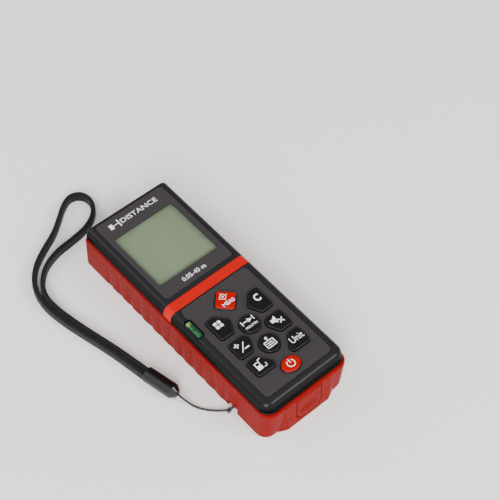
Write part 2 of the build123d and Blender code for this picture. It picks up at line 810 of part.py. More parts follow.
# ---- Battery ---------------------------------------------------------------------
def battery_parts():
    """Return the cell, its pad, the plug on the board and two wires."""
    width_x, depth, height = battery_size
    pad_top = floor_thickness + battery_pad_thickness
    cell = slab(-width_x / 2, width_x / 2, battery_near, battery_near + depth, pad_top, pad_top + height)
    cell = fillet(cell.edges().filter_by(Axis.Y), battery_edge_radius)
    pad = slab(-width_x / 2 + 3, width_x / 2 - 3, battery_near + 3, battery_near + depth - 3,
               floor_thickness, pad_top)
    board_bottom = pcb_top - pcb_thickness
    plug_x, plug_y, plug_z = connector_size
    x, y = connector_place
    plug = slab(x - plug_x / 2, x + plug_x / 2, y - plug_y / 2, y + plug_y / 2,
                board_bottom - plug_z, board_bottom)
    start_y = battery_near + depth
    wires = {}
    for name, wire_x in (("battery_wire_red", x - 1.4), ("battery_wire_black", x + 1.4)):
        wires[name] = battery_wire(wire_x, start_y, pad_top + height / 2, y - plug_y / 2,
                                   board_bottom - plug_z / 2)
    return {"battery_cell": cell, "battery_pad": pad, "battery_plug": plug, **wires}


def battery_wire(x, start_y, start_z, end_y, end_z):
    """Return one wire from the end of the cell up to the plug."""
    middle = (start_z + end_z) / 2
    out = start_y + 3.0
    path = FilletPolyline((x, start_y, start_z), (x, out, start_z), (x, out, middle),
                          (x, out - 1.4, end_z), (x, end_y, end_z), radius=0.65)
    return sweep(Plane(origin=(x, start_y, start_z), z_dir=(0, 1, 0)) * Circle(wire_radius), path)


# ---- Optics ----------------------------------------------------------------------
def bench_front():
    """Return the Y of the front of the optical bench."""
    return far_end - wall - bench_foot_gap


def bench_bottom():
    """Return the underside of the optical bench."""
    return optics_height - bench_height / 2


def faceplate_cut():
    """Return the opening in the far wall and the recess that seats the faceplate."""
    recess = slab(-faceplate_half - 0.1, faceplate_half + 0.1, far_end - faceplate_thickness, far_end + 1,
                  faceplate_bottom - 0.1, faceplate_top + 0.1)
    hole = rod_y(receiver_x, optics_height, far_end - wall - 1, far_end, receiver_window_radius)
    hole += rod_y(laser_x, optics_height, far_end - wall - 1, far_end, laser_window_radius)
    return recess + hole


def optics_faceplate():
    """Return the black plate on the far end with its two window seats."""
    back = far_end - faceplate_thickness
    faceplate = slab(-faceplate_half, faceplate_half, back, far_end, faceplate_bottom, faceplate_top)
    faceplate = fillet(faceplate.edges().filter_by(Axis.Y), 1.0)
    for x, radius in ((receiver_x, receiver_window_radius), (laser_x, laser_window_radius)):
        faceplate -= rod_y(x, optics_height, back - 1, back + pane_thickness, radius)
        faceplate -= rod_y(x, optics_height, back, far_end + 1, radius - pane_ledge)
    return faceplate


def optics_parts():
    """Return the bench with its lenses, laser, detector, panes and screws."""
    front = bench_front()
    back = front - bench_length
    bench = slab(-bench_half, bench_half, back, front, bench_bottom(), bench_bottom() + bench_height)
    bench = chamfer(bench.edges().filter_by(Axis.Z), 1.0)
    gap = optics_clearance
    bench -= rod_y(receiver_x, optics_height, front - receiver_lens_thickness, front + 1,
                   receiver_lens_radius + gap)
    cone_back = back + photodiode_length + 1.6
    bench -= rod_y(receiver_x, optics_height, cone_back, front - 1, receiver_bore)
    bench -= rod_y(receiver_x, optics_height, back - 1, cone_back + 1, photodiode_radius + gap)
    bench -= rod_y(laser_x, optics_height, back - 1, front + 1, laser_barrel_radius + gap)
    screws = []
    for x, inset in bench_screw_places:
        y = front - inset
        seat = bench_bottom() + bench_screw_seat
        bench -= post(x, y, bench_bottom() - 1, seat + 1, bench_screw_radius + screw_clearance)
        bench -= post(x, y, seat, seat + bench_height, bench_screw_head + screw_clearance)
        head = post(x, y, seat, seat + 1.2, bench_screw_head)
        shank = post(x, y, seat - bench_screw_length + 1.2, seat, bench_screw_radius)
        screws.append(head + shank - cross_drive(x, y, seat + 1.2, 1.8))
    lens = receiver_lens(front)
    diode_back = back + 2.0
    barrel_back = diode_back
    barrel = rod_y(laser_x, optics_height, barrel_back, barrel_back + laser_barrel_length,
                   laser_barrel_radius)
    bore = laser_barrel_radius - laser_barrel_wall
    barrel -= rod_y(laser_x, optics_height, barrel_back - 1, barrel_back + laser_barrel_length + 1, bore)
    diode = rod_y(laser_x, optics_height, diode_back, diode_back + diode_length, bore - gap)
    diode += rod_y(laser_x, optics_height, diode_back - 2.5, diode_back, 0.9)
    lens_front = barrel_back + laser_barrel_length - 0.4
    collimator = rod_y(laser_x, optics_height, lens_front - collimator_thickness, lens_front, bore - gap)
    detector = rod_y(receiver_x, optics_height, back - 0.5, back + photodiode_length, photodiode_radius)
    pane_back = far_end - faceplate_thickness
    panes = {name: rod_y(x, optics_height, pane_back, pane_back + pane_thickness, radius - gap)
             for name, x, radius in (("receiver_window", receiver_x, receiver_window_radius),
                                     ("laser_window", laser_x, laser_window_radius))}
    return {"optical_bench": bench, "receiver_lens": lens, "laser_barrel": barrel,
            "laser_diode": diode, "collimator_lens": collimator, "photodiode": detector,
            "bench_screws": group(screws), **panes}


def receiver_lens(front):
    """Return the plano-convex lens in the front of the bench."""
    back = front - receiver_lens_thickness
    blank = rod_y(receiver_x, optics_height, back, front + 1, receiver_lens_radius)
    sphere_radius = 16.0
    ball = Pos(receiver_x, front + 0.8 - sphere_radius, optics_height) * Sphere(sphere_radius)
    return blank & ball


# ---- Spirit level ----------------------------------------------------------------
def vial_height():
    """Return the height of the vial's axis."""
    return body_height + vial_rise - vial_radius


def vial_slot():
    """Return the round-bottomed slot that the vial lies in."""
    x, y = vial_centre
    half = vial_length / 2 + vial_clearance
    radius = vial_radius + vial_clearance
    slot = rod_y(x, vial_height(), y - half, y + half, radius)
    reach = half + vial_end_gap
    return slot + Pos(x, y, 0) * plate(radius, -reach, reach, vial_height(), body_height + 2,
                                       vial_corner_radius)


def vial_saddle_form():
    """Return the block under the vial."""
    x, y = vial_centre
    half = vial_length / 2 + vial_clearance + vial_end_gap + vial_saddle
    side = vial_radius + vial_clearance + vial_saddle
    return slab(x - side, x + side, y - half, y + half,
                vial_height() - vial_radius - vial_clearance - vial_saddle, top_underside + 0.1)


def level_parts():
    """Return the vial and the tinted fluid in it, with room for its bubble."""
    x, y = vial_centre
    z = vial_height()
    half = vial_length / 2
    vial = rod_y(x, z, y - half, y + half, vial_radius)
    vial = fillet(vial.edges(), 0.3)
    inner_half = half - vial_wall
    inner = vial_radius - vial_wall
    vial -= rod_y(x, z, y - inner_half, y + inner_half, inner)
    fluid_radius = inner - fluid_clearance
    fluid = rod_y(x, z, y - inner_half + fluid_clearance, y + inner_half - fluid_clearance, fluid_radius)
    bubble_z = z + fluid_radius - bubble_radius + 0.25
    bubble = rod_y(x, bubble_z, y - bubble_length / 2 + bubble_radius,
                   y + bubble_length / 2 - bubble_radius, bubble_radius)
    for end in (-1, 1):
        bubble += Pos(x, y + end * (bubble_length / 2 - bubble_radius), bubble_z) * Sphere(bubble_radius)
    return {"level_vial": vial, "level_fluid": fluid - bubble}


# ---- Strap -----------------------------------------------------------------------
def strap_pin():
    """Return the steel pin across the notch."""
    reach = notch_width / 2 + pin_grip
    return rod_y(-half_width + pin_inset, pin_height, notch_centre - reach, notch_centre + reach,
                 pin_radius)


def strap_knot():
    """Return the ring of cord round the pin, its short neck and the knot that closes it."""
    pin = Vector(-half_width + pin_inset, notch_centre, pin_height)
    knot = Vector(*knot_point)
    towards_knot = (knot - pin).normalized()
    radius = pin_radius + loop_clearance + string_diameter / 2
    ring = Pos(pin.X, pin.Y, pin.Z) * Rot(90, 0, 0) * Torus(radius, string_diameter / 2)
    start = pin + towards_knot * radius
    neck = extrude(Plane(origin=start, z_dir=towards_knot) * Circle(neck_radius), (knot - start).length)
    tilt = degrees(atan2(towards_knot.X, towards_knot.Z))
    return ring + neck + Pos(*knot_point) * Rot(0, tilt, 0) * Sphere(knot_radius)


def strap_barrel():
    """Return the plastic barrel that joins string and webbing, lying on its side."""
    start = Vector(*barrel_start)
    end = Vector(*barrel_end)
    along = (end - start).normalized()
    z = barrel_radius
    profile = Plane.XZ * make_face(
        Polyline((0, 0), (barrel_tip_radius, 0), (barrel_radius, 2.2), (barrel_radius, barrel_length),
                 (0, barrel_length), close=True))
    body = revolve(profile, Axis.Z)
    body = fillet(body.edges().group_by(Axis.Z)[0], 0.5)
    body = fillet(body.edges().group_by(Axis.Z)[-1], 0.4)
    body = Plane(origin=(start.X, start.Y, z), z_dir=(along.X, along.Y, 0)).location * body
    webbing = strap_webbing()
    return body - webbing - Pos(0, 0, -1) * webbing


def strap_string():
    """Return the thin string from the knot to the barrel."""
    path = route(string_points)
    section = Plane(origin=path @ 0, z_dir=path % 0) * Circle(string_diameter / 2)
    return sweep(section, path)


def strap_webbing():
    """Return the woven hand loop, a band that stands on its edge."""
    path = route([(x, y, 0) for x, y in webbing_points])
    section = Plane(origin=path @ 0, z_dir=path % 0, x_dir=(0, 0, 1)) * Rectangle(
        webbing_height, webbing_thickness)
    return Pos(0, 0, webbing_height / 2 + 0.1) * sweep(section, path)


def rear_label():
    """Return the thin label in its recess on the back."""
    width_x, depth, thickness = label_size
    return slab(-width_x / 2, width_x / 2, -depth / 2, depth / 2, label_recess - thickness, label_recess)


def all_nodes():
    """Return every piece of the meter by its name."""
    nodes = {"rear_housing": rear_housing(), "front_cover": front_cover(),
             "housing_seal": housing_seal(), "cross_band": band_form(0),
             "casing_screws": casing_screws(), "keypad_panel": keypad_panel(), "key_mat": key_mat()}
    nodes.update(display_parts())
    nodes.update(keys())
    nodes.update(board_parts())
    nodes.update(charge_board_parts())
    nodes.update(battery_parts())
    nodes.update(optics_parts())
    nodes.update(level_parts())
    nodes.update({"optics_faceplate": optics_faceplate(), "port_flap": port_flap(),
                  "rear_label": rear_label(), "strap_pin": strap_pin(), "strap_knot": strap_knot(),
                  "strap_barrel": strap_barrel(), "strap_string": strap_string(),
                  "strap_webbing": strap_webbing()})
    return nodes


os.makedirs("parts", exist_ok=True)
for node_name, node_shape in all_nodes().items():
    export_step(node_shape, f"parts/{node_name}.step")
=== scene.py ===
"""Looks of a handheld laser distance meter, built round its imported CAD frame.

The meter lies on its back: +Z is up through the display and +Y is the end that the laser
leaves. Lengths are in metres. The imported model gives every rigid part, and this file adds
the printed legends, the level's rings, the wrist strap and the finishes.
"""

import logging
import math
from dataclasses import dataclass, field
from enum import Enum
from functools import cache
from typing import Callable, Iterable, Optional, Sequence

import bmesh
import bpy
from mathutils import Matrix, Vector

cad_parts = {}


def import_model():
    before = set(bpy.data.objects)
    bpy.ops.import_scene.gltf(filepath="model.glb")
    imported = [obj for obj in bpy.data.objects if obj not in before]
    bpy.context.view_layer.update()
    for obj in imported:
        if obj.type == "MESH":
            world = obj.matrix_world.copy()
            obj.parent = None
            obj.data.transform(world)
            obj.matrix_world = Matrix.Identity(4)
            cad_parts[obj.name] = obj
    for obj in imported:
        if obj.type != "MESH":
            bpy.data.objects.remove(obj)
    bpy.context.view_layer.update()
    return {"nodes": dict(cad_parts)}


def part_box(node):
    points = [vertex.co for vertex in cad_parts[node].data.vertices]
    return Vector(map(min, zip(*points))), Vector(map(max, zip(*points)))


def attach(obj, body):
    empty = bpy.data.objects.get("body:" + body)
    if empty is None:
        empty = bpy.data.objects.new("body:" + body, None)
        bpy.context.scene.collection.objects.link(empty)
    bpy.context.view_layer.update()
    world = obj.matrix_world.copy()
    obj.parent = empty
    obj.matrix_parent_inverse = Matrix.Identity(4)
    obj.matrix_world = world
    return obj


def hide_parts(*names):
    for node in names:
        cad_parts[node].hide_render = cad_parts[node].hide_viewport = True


LOG = logging.getLogger("distance_meter")
MM = 0.001
ROOT = "root"
Colour = tuple[float, float, float]
Point = tuple[float, float]


def srgb(red: int, green: int, blue: int) -> Colour:
    """Turn a display colour into a linear one.

    Args:
        red: Red, from 0 to 255.
        green: Green, from 0 to 255.
        blue: Blue, from 0 to 255.

    Returns:
        The three linear channels.
    """
    def linear(channel: int) -> float:
        """Return one channel in linear light."""
        value = channel / 255
        return value / 12.92 if value <= 0.04045 else ((value + 0.055) / 1.055) ** 2.4

    return linear(red), linear(green), linear(blue)


# ---------------------------------------------------------------- shader expressions
class Value:
    """A number in a shader, which Python operators combine into Math nodes."""

    def __init__(self, shader: "Shader", socket: bpy.types.NodeSocket) -> None:
        """Keep the socket and the shader that it belongs to."""
        self.shader = shader
        self.socket = socket

    def _math(self, operation: str, first: object, second: object = None) -> "Value":
        """Add a Math node and return its result."""
        inputs = {0: first} if second is None else {0: first, 1: second}
        return self.shader.add("ShaderNodeMath", {"operation": operation}, inputs)

    def __add__(self, other: object) -> "Value":
        """Return self + other."""
        return self._math("ADD", self, other)

    def __radd__(self, other: object) -> "Value":
        """Return other + self."""
        return self._math("ADD", other, self)

    def __sub__(self, other: object) -> "Value":
        """Return self - other."""
        return self._math("SUBTRACT", self, other)

    def __rsub__(self, other: object) -> "Value":
        """Return other - self."""
        return self._math("SUBTRACT", other, self)

    def __mul__(self, other: object) -> "Value":
        """Return self * other."""
        return self._math("MULTIPLY", self, other)

    def __rmul__(self, other: object) -> "Value":
        """Return other * self."""
        return self._math("MULTIPLY", other, self)

    def __truediv__(self, other: object) -> "Value":
        """Return self / other."""
        return self._math("DIVIDE", self, other)

    def above(self, limit: float) -> "Value":
        """Return 1 where the value is above limit, else 0."""
        return self._math("GREATER_THAN", self, limit)

    def fraction(self) -> "Value":
        """Return the part behind the decimal point."""
        return self._math("FRACT", self)

    def absolute(self) -> "Value":
        """Return the value without its sign."""
        return self._math("ABSOLUTE", self)

    def sine(self) -> "Value":
        """Return the sine of the value in radians."""
        return self._math("SINE", self)


class Shader:
    """A material or a world under construction: its nodes, main shader and coordinates."""

    def __init__(self, name: str, world: bool = False) -> None:
        """Start a material with one Principled shader, or a world with one Background.

        Args:
            name: What the material or world is called.
            world: Whether it is a world.
        """
        kinds = bpy.data.worlds if world else bpy.data.materials
        self.material = kinds.new(name)
        self.material.use_nodes = True
        self.tree = self.material.node_tree
        self.main = self.tree.nodes["Background" if world else "Principled BSDF"]
        self.coordinates = self.tree.nodes.new("ShaderNodeTexCoord")

    def add(self, kind: str, settings: Optional[dict] = None, inputs: Optional[dict] = None,
            output: object = 0) -> Value:
        """Add one node.

        Args:
            kind: The node's type name.
            settings: Properties that are set before the inputs.
            inputs: Values or links, by socket name or number.
            output: The output socket that is returned.

        Returns:
            The chosen output as a Value.
        """
        node = self.tree.nodes.new(kind)
        for name, value in (settings or {}).items():
            if name == "stops":
                self._set_stops(node, value)
            else:
                setattr(node, name, value)
        for name, value in (inputs or {}).items():
            self.feed(node.inputs[name], value)
        return Value(self, node.outputs[output])

    @staticmethod
    def _set_stops(node: bpy.types.Node, stops: Sequence[tuple[float, Colour]]) -> None:
        """Give a colour ramp its stops."""
        elements = node.color_ramp.elements
        while len(elements) < len(stops):
            elements.new(0.5)
        for element, (position, colour) in zip(elements, stops):
            element.position = position
            element.color = (*colour, 1.0)

    def feed(self, socket: bpy.types.NodeSocket, value: object) -> None:
        """Link a Value to a socket, or set the socket's own value."""
        if isinstance(value, Value):
            self.tree.links.new(value.socket, socket)
            return
        if socket.type == "RGBA" and len(value) == 3:
            value = (*value, 1.0)
        socket.default_value = value

    def set(self, **inputs: object) -> None:
        """Set sockets of the main shader, with underscores for spaces in their names."""
        for name, value in inputs.items():
            self.feed(self.main.inputs[name.replace("_", " ")], value)

    def place(self, output: str = "Object") -> Value:
        """Return the coordinates that patterns are laid out in."""
        return Value(self, self.coordinates.outputs[output])

    def noise(self, size: float, detail: float = 3.0, place: Optional[Value] = None) -> Value:
        """Return soft noise whose lumps are about size metres wide."""
        inputs = {"Vector": place or self.place(), "Scale": 1 / size, "Detail": detail}
        return self.add("ShaderNodeTexNoise", {}, inputs)

    def mix(self, factor: object, first: object, second: object) -> Value:
        """Return a blend of two colours."""
        node = self.tree.nodes.new("ShaderNodeMix")
        node.data_type = "RGBA"
        for index, value in ((0, factor), (6, first), (7, second)):
            self.feed(node.inputs[index], value)
        return Value(self, node.outputs[2])

    def bump(self, height: Value, depth: float, strength: float = 1.0) -> None:
        """Give the main shader a relief.

        Args:
            height: The relief, from 0 to 1.
            depth: How high 1 stands, in metres.
            strength: How much of it shows.
        """
        inputs = {"Height": height, "Distance": depth, "Strength": strength}
        self.set(Normal=self.add("ShaderNodeBump", {}, inputs))


# ---------------------------------------------------------------- finishes
@dataclass(frozen=True)
class Moulded:
    """A plastic, rubber or paint finish with grain, tone changes and uneven gloss."""

    name: str
    colour: Colour
    roughness: float = 0.5
    tone: float = 0.12
    tone_size: float = 9 * MM
    gloss_change: float = 0.08
    grain_size: float = 0.25 * MM
    grain_depth: float = 0.012 * MM
    coat: float = 0.0
    sheen: float = 0.0
    specular: float = 0.5
    metallic: float = 0.0
    anisotropic: float = 0.0

    def build(self) -> bpy.types.Material:
        """Return the finish as a material."""
        shader = Shader(self.name)
        lumps = shader.noise(self.tone_size)
        darker = tuple(channel * (1 - self.tone) for channel in self.colour)
        lighter = tuple(min(1.0, channel * (1 + self.tone)) for channel in self.colour)
        grain = shader.noise(self.grain_size, 2.0)
        tone = lumps * 0.75 + grain * 0.25
        shader.set(Base_Color=shader.mix(tone, darker, lighter), Metallic=self.metallic,
                   Specular_IOR_Level=self.specular, Coat_Weight=self.coat, Coat_Roughness=0.12,
                   Sheen_Weight=self.sheen, Sheen_Roughness=0.5)
        low = self.roughness - self.gloss_change
        shader.set(Roughness=shader.noise(self.tone_size * 0.4) * (2 * self.gloss_change) + low)
        shader.bump(grain, self.grain_depth)
        return shader.material


@dataclass(frozen=True)
class LitTopShadedSides:
    """A moulded black finish whose flat top is painted a lighter matte grey as painted light from above,
    and whose glossier sides below are painted near-black as painted shade.
    """

    name: str
    # top is the painted lit colour of the flat top, and side the painted shade colour of the sides.
    top: Colour
    side: Colour
    top_height: float
    fade: float = 0.55 * MM
    top_roughness: float = 0.5
    side_roughness: float = 0.32
    specular: float = 0.02
    roll_base: float = 18.6 * MM
    roll_coat: float = 0.35

    def build(self) -> bpy.types.Material:
        """Return the finish as a material."""
        shader = Shader(self.name)
        height = shader.add("ShaderNodeSeparateXYZ", {}, {0: shader.place()}, "Z")
        limits = {"Value": height, "From Min": self.top_height - self.fade,
                  "From Max": self.top_height}
        level = shader.add("ShaderNodeMapRange", {"interpolation_type": "SMOOTHSTEP"}, limits)
        lumps = shader.noise(11 * MM)
        grain = shader.noise(0.15 * MM, 2.0)
        # Painted light and shade: the lighter top colour up at the top height, the darker side colour
        # below; noise then lightens it a little at random.
        painted_light_base = shader.mix(level, self.side, self.top)
        mottled_and_painted_light = shader.mix(lumps * 0.05 + grain * 0.02, painted_light_base, tuple(c * 1.8 for c in self.top))
        gloss = self.side_roughness + level * (self.top_roughness - self.side_roughness)
        rise = {"Value": height, "From Min": self.roll_base, "From Max": self.top_height - 1 * MM}
        roll = shader.add("ShaderNodeMapRange", {"interpolation_type": "SMOOTHSTEP"}, rise)
        shader.set(Base_Color=mottled_and_painted_light, Roughness=gloss + lumps * 0.06,
                   Coat_Weight=roll * (1 - level) * self.roll_coat, Coat_Roughness=0.3,
                   Specular_IOR_Level=self.specular)
        shader.bump(grain, 0.008 * MM)
        return shader.material


@dataclass(frozen=True)
class Clear:
    """A clear or tinted pane, lens or tube that lets what is behind it show."""

    name: str
    colour: Colour
    see_through: float = 0.85
    roughness: float = 0.05
    smudge: float = 0.05

    def build(self) -> bpy.types.Material:
        """Return the finish as a material."""
        shader = Shader(self.name)
        smear = shader.noise(6 * MM, 4.0)
        rim = shader.add("ShaderNodeLayerWeight", {}, {"Blend": 0.35}, "Facing")
        shader.set(Base_Color=shader.mix(smear, self.colour, tuple(c * 0.92 for c in self.colour)),
                   Roughness=smear * self.smudge + self.roughness,
                   Alpha=rim * 0.3 + (1 - self.see_through), Specular_IOR_Level=0.3)
        return shader.material


@dataclass(frozen=True)
class LevelLiquid:
    """Green level liquid with a painted yellow-green highlight at its far end, where light gathers."""

    name: str
    deep: Colour = srgb(10, 92, 52)
    # bright is the colour of the painted highlight.
    bright: Colour = srgb(176, 190, 104)
    far_end: float = -4.9 * MM
    reach: float = 1.8 * MM

    def build(self) -> bpy.types.Material:
        """Return the finish as a material."""
        shader = Shader(self.name)
        along = shader.add("ShaderNodeSeparateXYZ", {}, {0: shader.place()}, "Y")
        # The painted highlight fades in towards the far end of the tube.
        limits = {"Value": along, "From Min": self.far_end - self.reach, "From Max": self.far_end}
        painted_highlight = shader.add("ShaderNodeMapRange", {"interpolation_type": "SMOOTHSTEP"}, limits)
        swirl = shader.noise(1.6 * MM, 3.0)
        shader.set(Base_Color=shader.mix(painted_highlight * (swirl * 0.6 + 0.6), self.deep, self.bright),
                   Roughness=swirl * 0.1 + 0.08, Alpha=0.86, Specular_IOR_Level=0.5,
                   Coat_Weight=0.5, Coat_Roughness=0.05)
        shader.bump(swirl, 0.03 * MM)
        return shader.material


@dataclass(frozen=True)
class Turned:
    """A metal finish with fine tool marks."""

    name: str
    colour: Colour
    roughness: float = 0.3
    mark_size: float = 0.12 * MM

    def build(self) -> bpy.types.Material:
        """Return the finish as a material."""
        shader = Shader(self.name)
        marks = shader.noise(self.mark_size, 2.0)
        stain = shader.noise(3 * MM, 3.0)
        dull = tuple(channel * 0.78 for channel in self.colour)
        shader.set(Base_Color=shader.mix(stain, dull, self.colour), Metallic=1.0,
                   Roughness=marks * 0.15 + stain * 0.1 + (self.roughness - 0.1))
        shader.bump(marks, 0.004 * MM)
        return shader.material


@dataclass(frozen=True)
class DisplayFilm:
    """The green-grey face of the display, with its fine cell grid."""

    name: str = "display_film"
    middle: Colour = srgb(128, 142, 115)
    edge: Colour = srgb(112, 127, 99)
    cell: float = 0.36 * MM

    def build(self) -> bpy.types.Material:
        """Return the finish as a material."""
        shader = Shader(self.name)
        cloud = shader.noise(14 * MM, 2.0)
        place = shader.add("ShaderNodeSeparateXYZ", {}, {0: shader.place()}, "X")
        columns = (place / self.cell).fraction().above(0.9)
        shader.set(Base_Color=shader.mix(cloud - columns * 0.05, self.edge, self.middle),
                   Roughness=cloud * 0.1 + 0.3, Specular_IOR_Level=0.25)
        shader.bump(shader.noise(0.1 * MM, 2.0), 0.003 * MM)
        return shader.material


@dataclass(frozen=True)
class Soldered:
    """Solder mask over copper tracks."""

    name: str
    mask: Colour = srgb(18, 84, 44)
    track: Colour = srgb(40, 120, 62)
    pitch: float = 1.1 * MM

    def build(self) -> bpy.types.Material:
        """Return the finish as a material."""
        shader = Shader(self.name)
        wander = shader.noise(7 * MM, 0.0) * 9.0
        across = shader.add("ShaderNodeSeparateXYZ", {}, {0: shader.place()}, "X") / self.pitch
        along = shader.add("ShaderNodeSeparateXYZ", {}, {0: shader.place()}, "Y") / (self.pitch * 6)
        tracks = (across + wander * 0.25 + along.sine() * 0.4).fraction().above(0.62)
        shader.set(Base_Color=shader.mix(tracks, self.mask, self.track),
                   Roughness=shader.noise(2 * MM) * 0.1 + 0.32, Coat_Weight=0.3)
        shader.bump(tracks, 0.03 * MM)
        return shader.material


@dataclass(frozen=True)
class Woven:
    """A flat woven tape: ribs across it, warps along it, with a little fuzz."""

    name: str = "woven_tape"
    thread: Colour = srgb(17, 15, 15)
    # gap is painted shade in the hollows between threads, and glint is a painted glint on the fibres.
    gap: Colour = srgb(3, 3, 3)
    glint: Colour = srgb(38, 35, 35)
    rib: float = 0.55 * MM
    warp: float = 0.62 * MM

    def build(self) -> bpy.types.Material:
        """Return the finish as a material, laid out in the tape's own UV map."""
        shader = Shader(self.name)
        uv = shader.place("UV")
        along = shader.add("ShaderNodeSeparateXYZ", {}, {0: uv}, "X")
        across = shader.add("ShaderNodeSeparateXYZ", {}, {0: uv}, "Y")
        row = (across / self.warp)
        slant = ((row.fraction() - 0.5).absolute()) * 1.1
        rib = ((along / self.rib + slant).fraction() - 0.5).absolute() * 2.0
        warp = (row.fraction() - 0.5).absolute() * 2.0
        weave = (1 - rib * rib) * (1 - warp * warp * 0.6)
        fuzz = shader.noise(0.09 * MM, 2.0)
        # Noise mixes painted glints into the thread; the weave puts painted shade in the gaps between ribs
        # and warps.
        mottled_and_painted_light = shader.mix(fuzz * 0.5, self.thread, self.glint)
        shader.set(Base_Color=shader.mix(weave, self.gap, mottled_and_painted_light), Roughness=fuzz * 0.15 + 0.68,
                   Sheen_Weight=0.08, Sheen_Roughness=0.4, Specular_IOR_Level=0.2)
        shader.bump(weave + fuzz * 0.2, 0.09 * MM)
        return shader.material


@dataclass(frozen=True)
class Tabletop:
    """The pale matte surface that the meter lies on."""

    name: str = "tabletop"
    colour: Colour = srgb(246, 244, 241)

    def build(self) -> bpy.types.Material:
        """Return the finish as a material."""
        shader = Shader(self.name)
        cloud = shader.noise(0.25, 2.0)
        shader.set(Base_Color=shader.mix(cloud, tuple(c * 0.985 for c in self.colour), self.colour),
                   Roughness=cloud * 0.1 + 0.6, Specular_IOR_Level=0.25)
        return shader.material


class Finish(Enum):
    """Every finish on the meter. The value is what builds it."""

    RED_SHELL = Moulded("red_soft_shell", srgb(116, 4, 2), 0.5, 0.07, 12 * MM, 0.06, 0.18 * MM,
                        0.010 * MM, specular=0.07)
    # The cover's lighter top colour is painted light and its near-black side colour is painted shade.
    BLACK_COVER = LitTopShadedSides("satin_black_cover", srgb(34, 33, 35), srgb(5, 5, 7), 22.2 * MM)
    FACEPLATE = Moulded("satin_faceplate", srgb(22, 22, 26), 0.4)
    RED_BAND = Moulded("red_band", srgb(180, 8, 3), 0.38, 0.05, 8 * MM, 0.05, 0.2 * MM, 0.005 * MM,
                       specular=0.15)
    SEAL = Moulded("seal", srgb(112, 92, 82), 0.6, 0.1)
    PANEL = Moulded("dark_panel", srgb(50, 46, 48), 0.55, 0.06, 14 * MM, 0.04, 0.14 * MM, 0.010 * MM,
                     specular=0.25)
    KEY = Moulded("key_rubber", srgb(15, 15, 18), 0.4, 0.1, 4 * MM, 0.06, 0.12 * MM, 0.006 * MM,
                   specular=0.3)
    KEY_RED = Moulded("key_red", srgb(158, 5, 3), 0.36, 0.05, 5 * MM, 0.05, 0.14 * MM, 0.005 * MM,
                       specular=0.1)
    PRINT = Moulded("white_print", srgb(238, 238, 242), 0.55, 0.04, 1.5 * MM, 0.05, 0.1 * MM,
                    0.003 * MM)
    WHITE_PLASTIC = Moulded("white_plastic", srgb(222, 222, 216), 0.5)
    DARK_PLASTIC = Moulded("dark_plastic", srgb(32, 32, 34), 0.5)
    SILICONE = Moulded("silicone", srgb(120, 122, 126), 0.6)
    FOAM = Moulded("foam", srgb(48, 48, 50), 0.9, 0.3, 1 * MM, 0.05, 0.4 * MM, 0.08 * MM)
    CELL = Moulded("cell_foil", srgb(176, 182, 190), 0.35, 0.08, 5 * MM, 0.1, 0.6 * MM, 0.02 * MM,
                   metallic=0.9)
    WIRE_RED = Moulded("wire_red", srgb(190, 26, 22), 0.4)
    WIRE_BLACK = Moulded("wire_black", srgb(24, 24, 26), 0.4)
    BARREL = Moulded("barrel_plastic", srgb(10, 10, 12), 0.26, 0.12, 3 * MM, 0.08, 0.2 * MM,
                     0.008 * MM)
    LABEL = Moulded("label_paper", srgb(206, 206, 202), 0.5, 0.04, 6 * MM, 0.05, 0.2 * MM, 0.003 * MM)
    LABEL_PRINT = Moulded("label_print", srgb(40, 40, 42), 0.6, 0.1)
    CORD = Moulded("black_cord", srgb(24, 22, 22), 0.6, 0.35, 0.5 * MM, 0.1, 0.22 * MM, 0.07 * MM,
                   sheen=0.2)
    BOARD = Soldered("circuit_board")
    DISPLAY = DisplayFilm()
    WOVEN = Woven()
    STEEL = Turned("steel", srgb(180, 180, 182), 0.34)
    BRIGHT = Turned("bright_steel", srgb(205, 206, 210), 0.2)
    GOLD = Turned("gold_contact", srgb(226, 180, 92), 0.25)
    BRASS = Turned("brass", srgb(196, 158, 84), 0.3)
    CAST = Turned("cast_metal", srgb(150, 152, 156), 0.45, 0.4 * MM)
    PANE = Clear("display_pane", srgb(96, 112, 92), 0.97, 0.04)
    LENS = Clear("coated_lens", srgb(96, 60, 120), 0.62, 0.03)
    WINDOW_RED = Clear("filter_window", srgb(60, 8, 12), 0.25, 0.04)
    VIAL = Clear("vial_tube", srgb(56, 104, 60), 0.9, 0.03)
    FLUID = LevelLiquid("level_liquid")
    TABLE = Tabletop()

    @cache
    def material(self) -> bpy.types.Material:
        """Return this finish's material, built once."""
        return self.value.build()


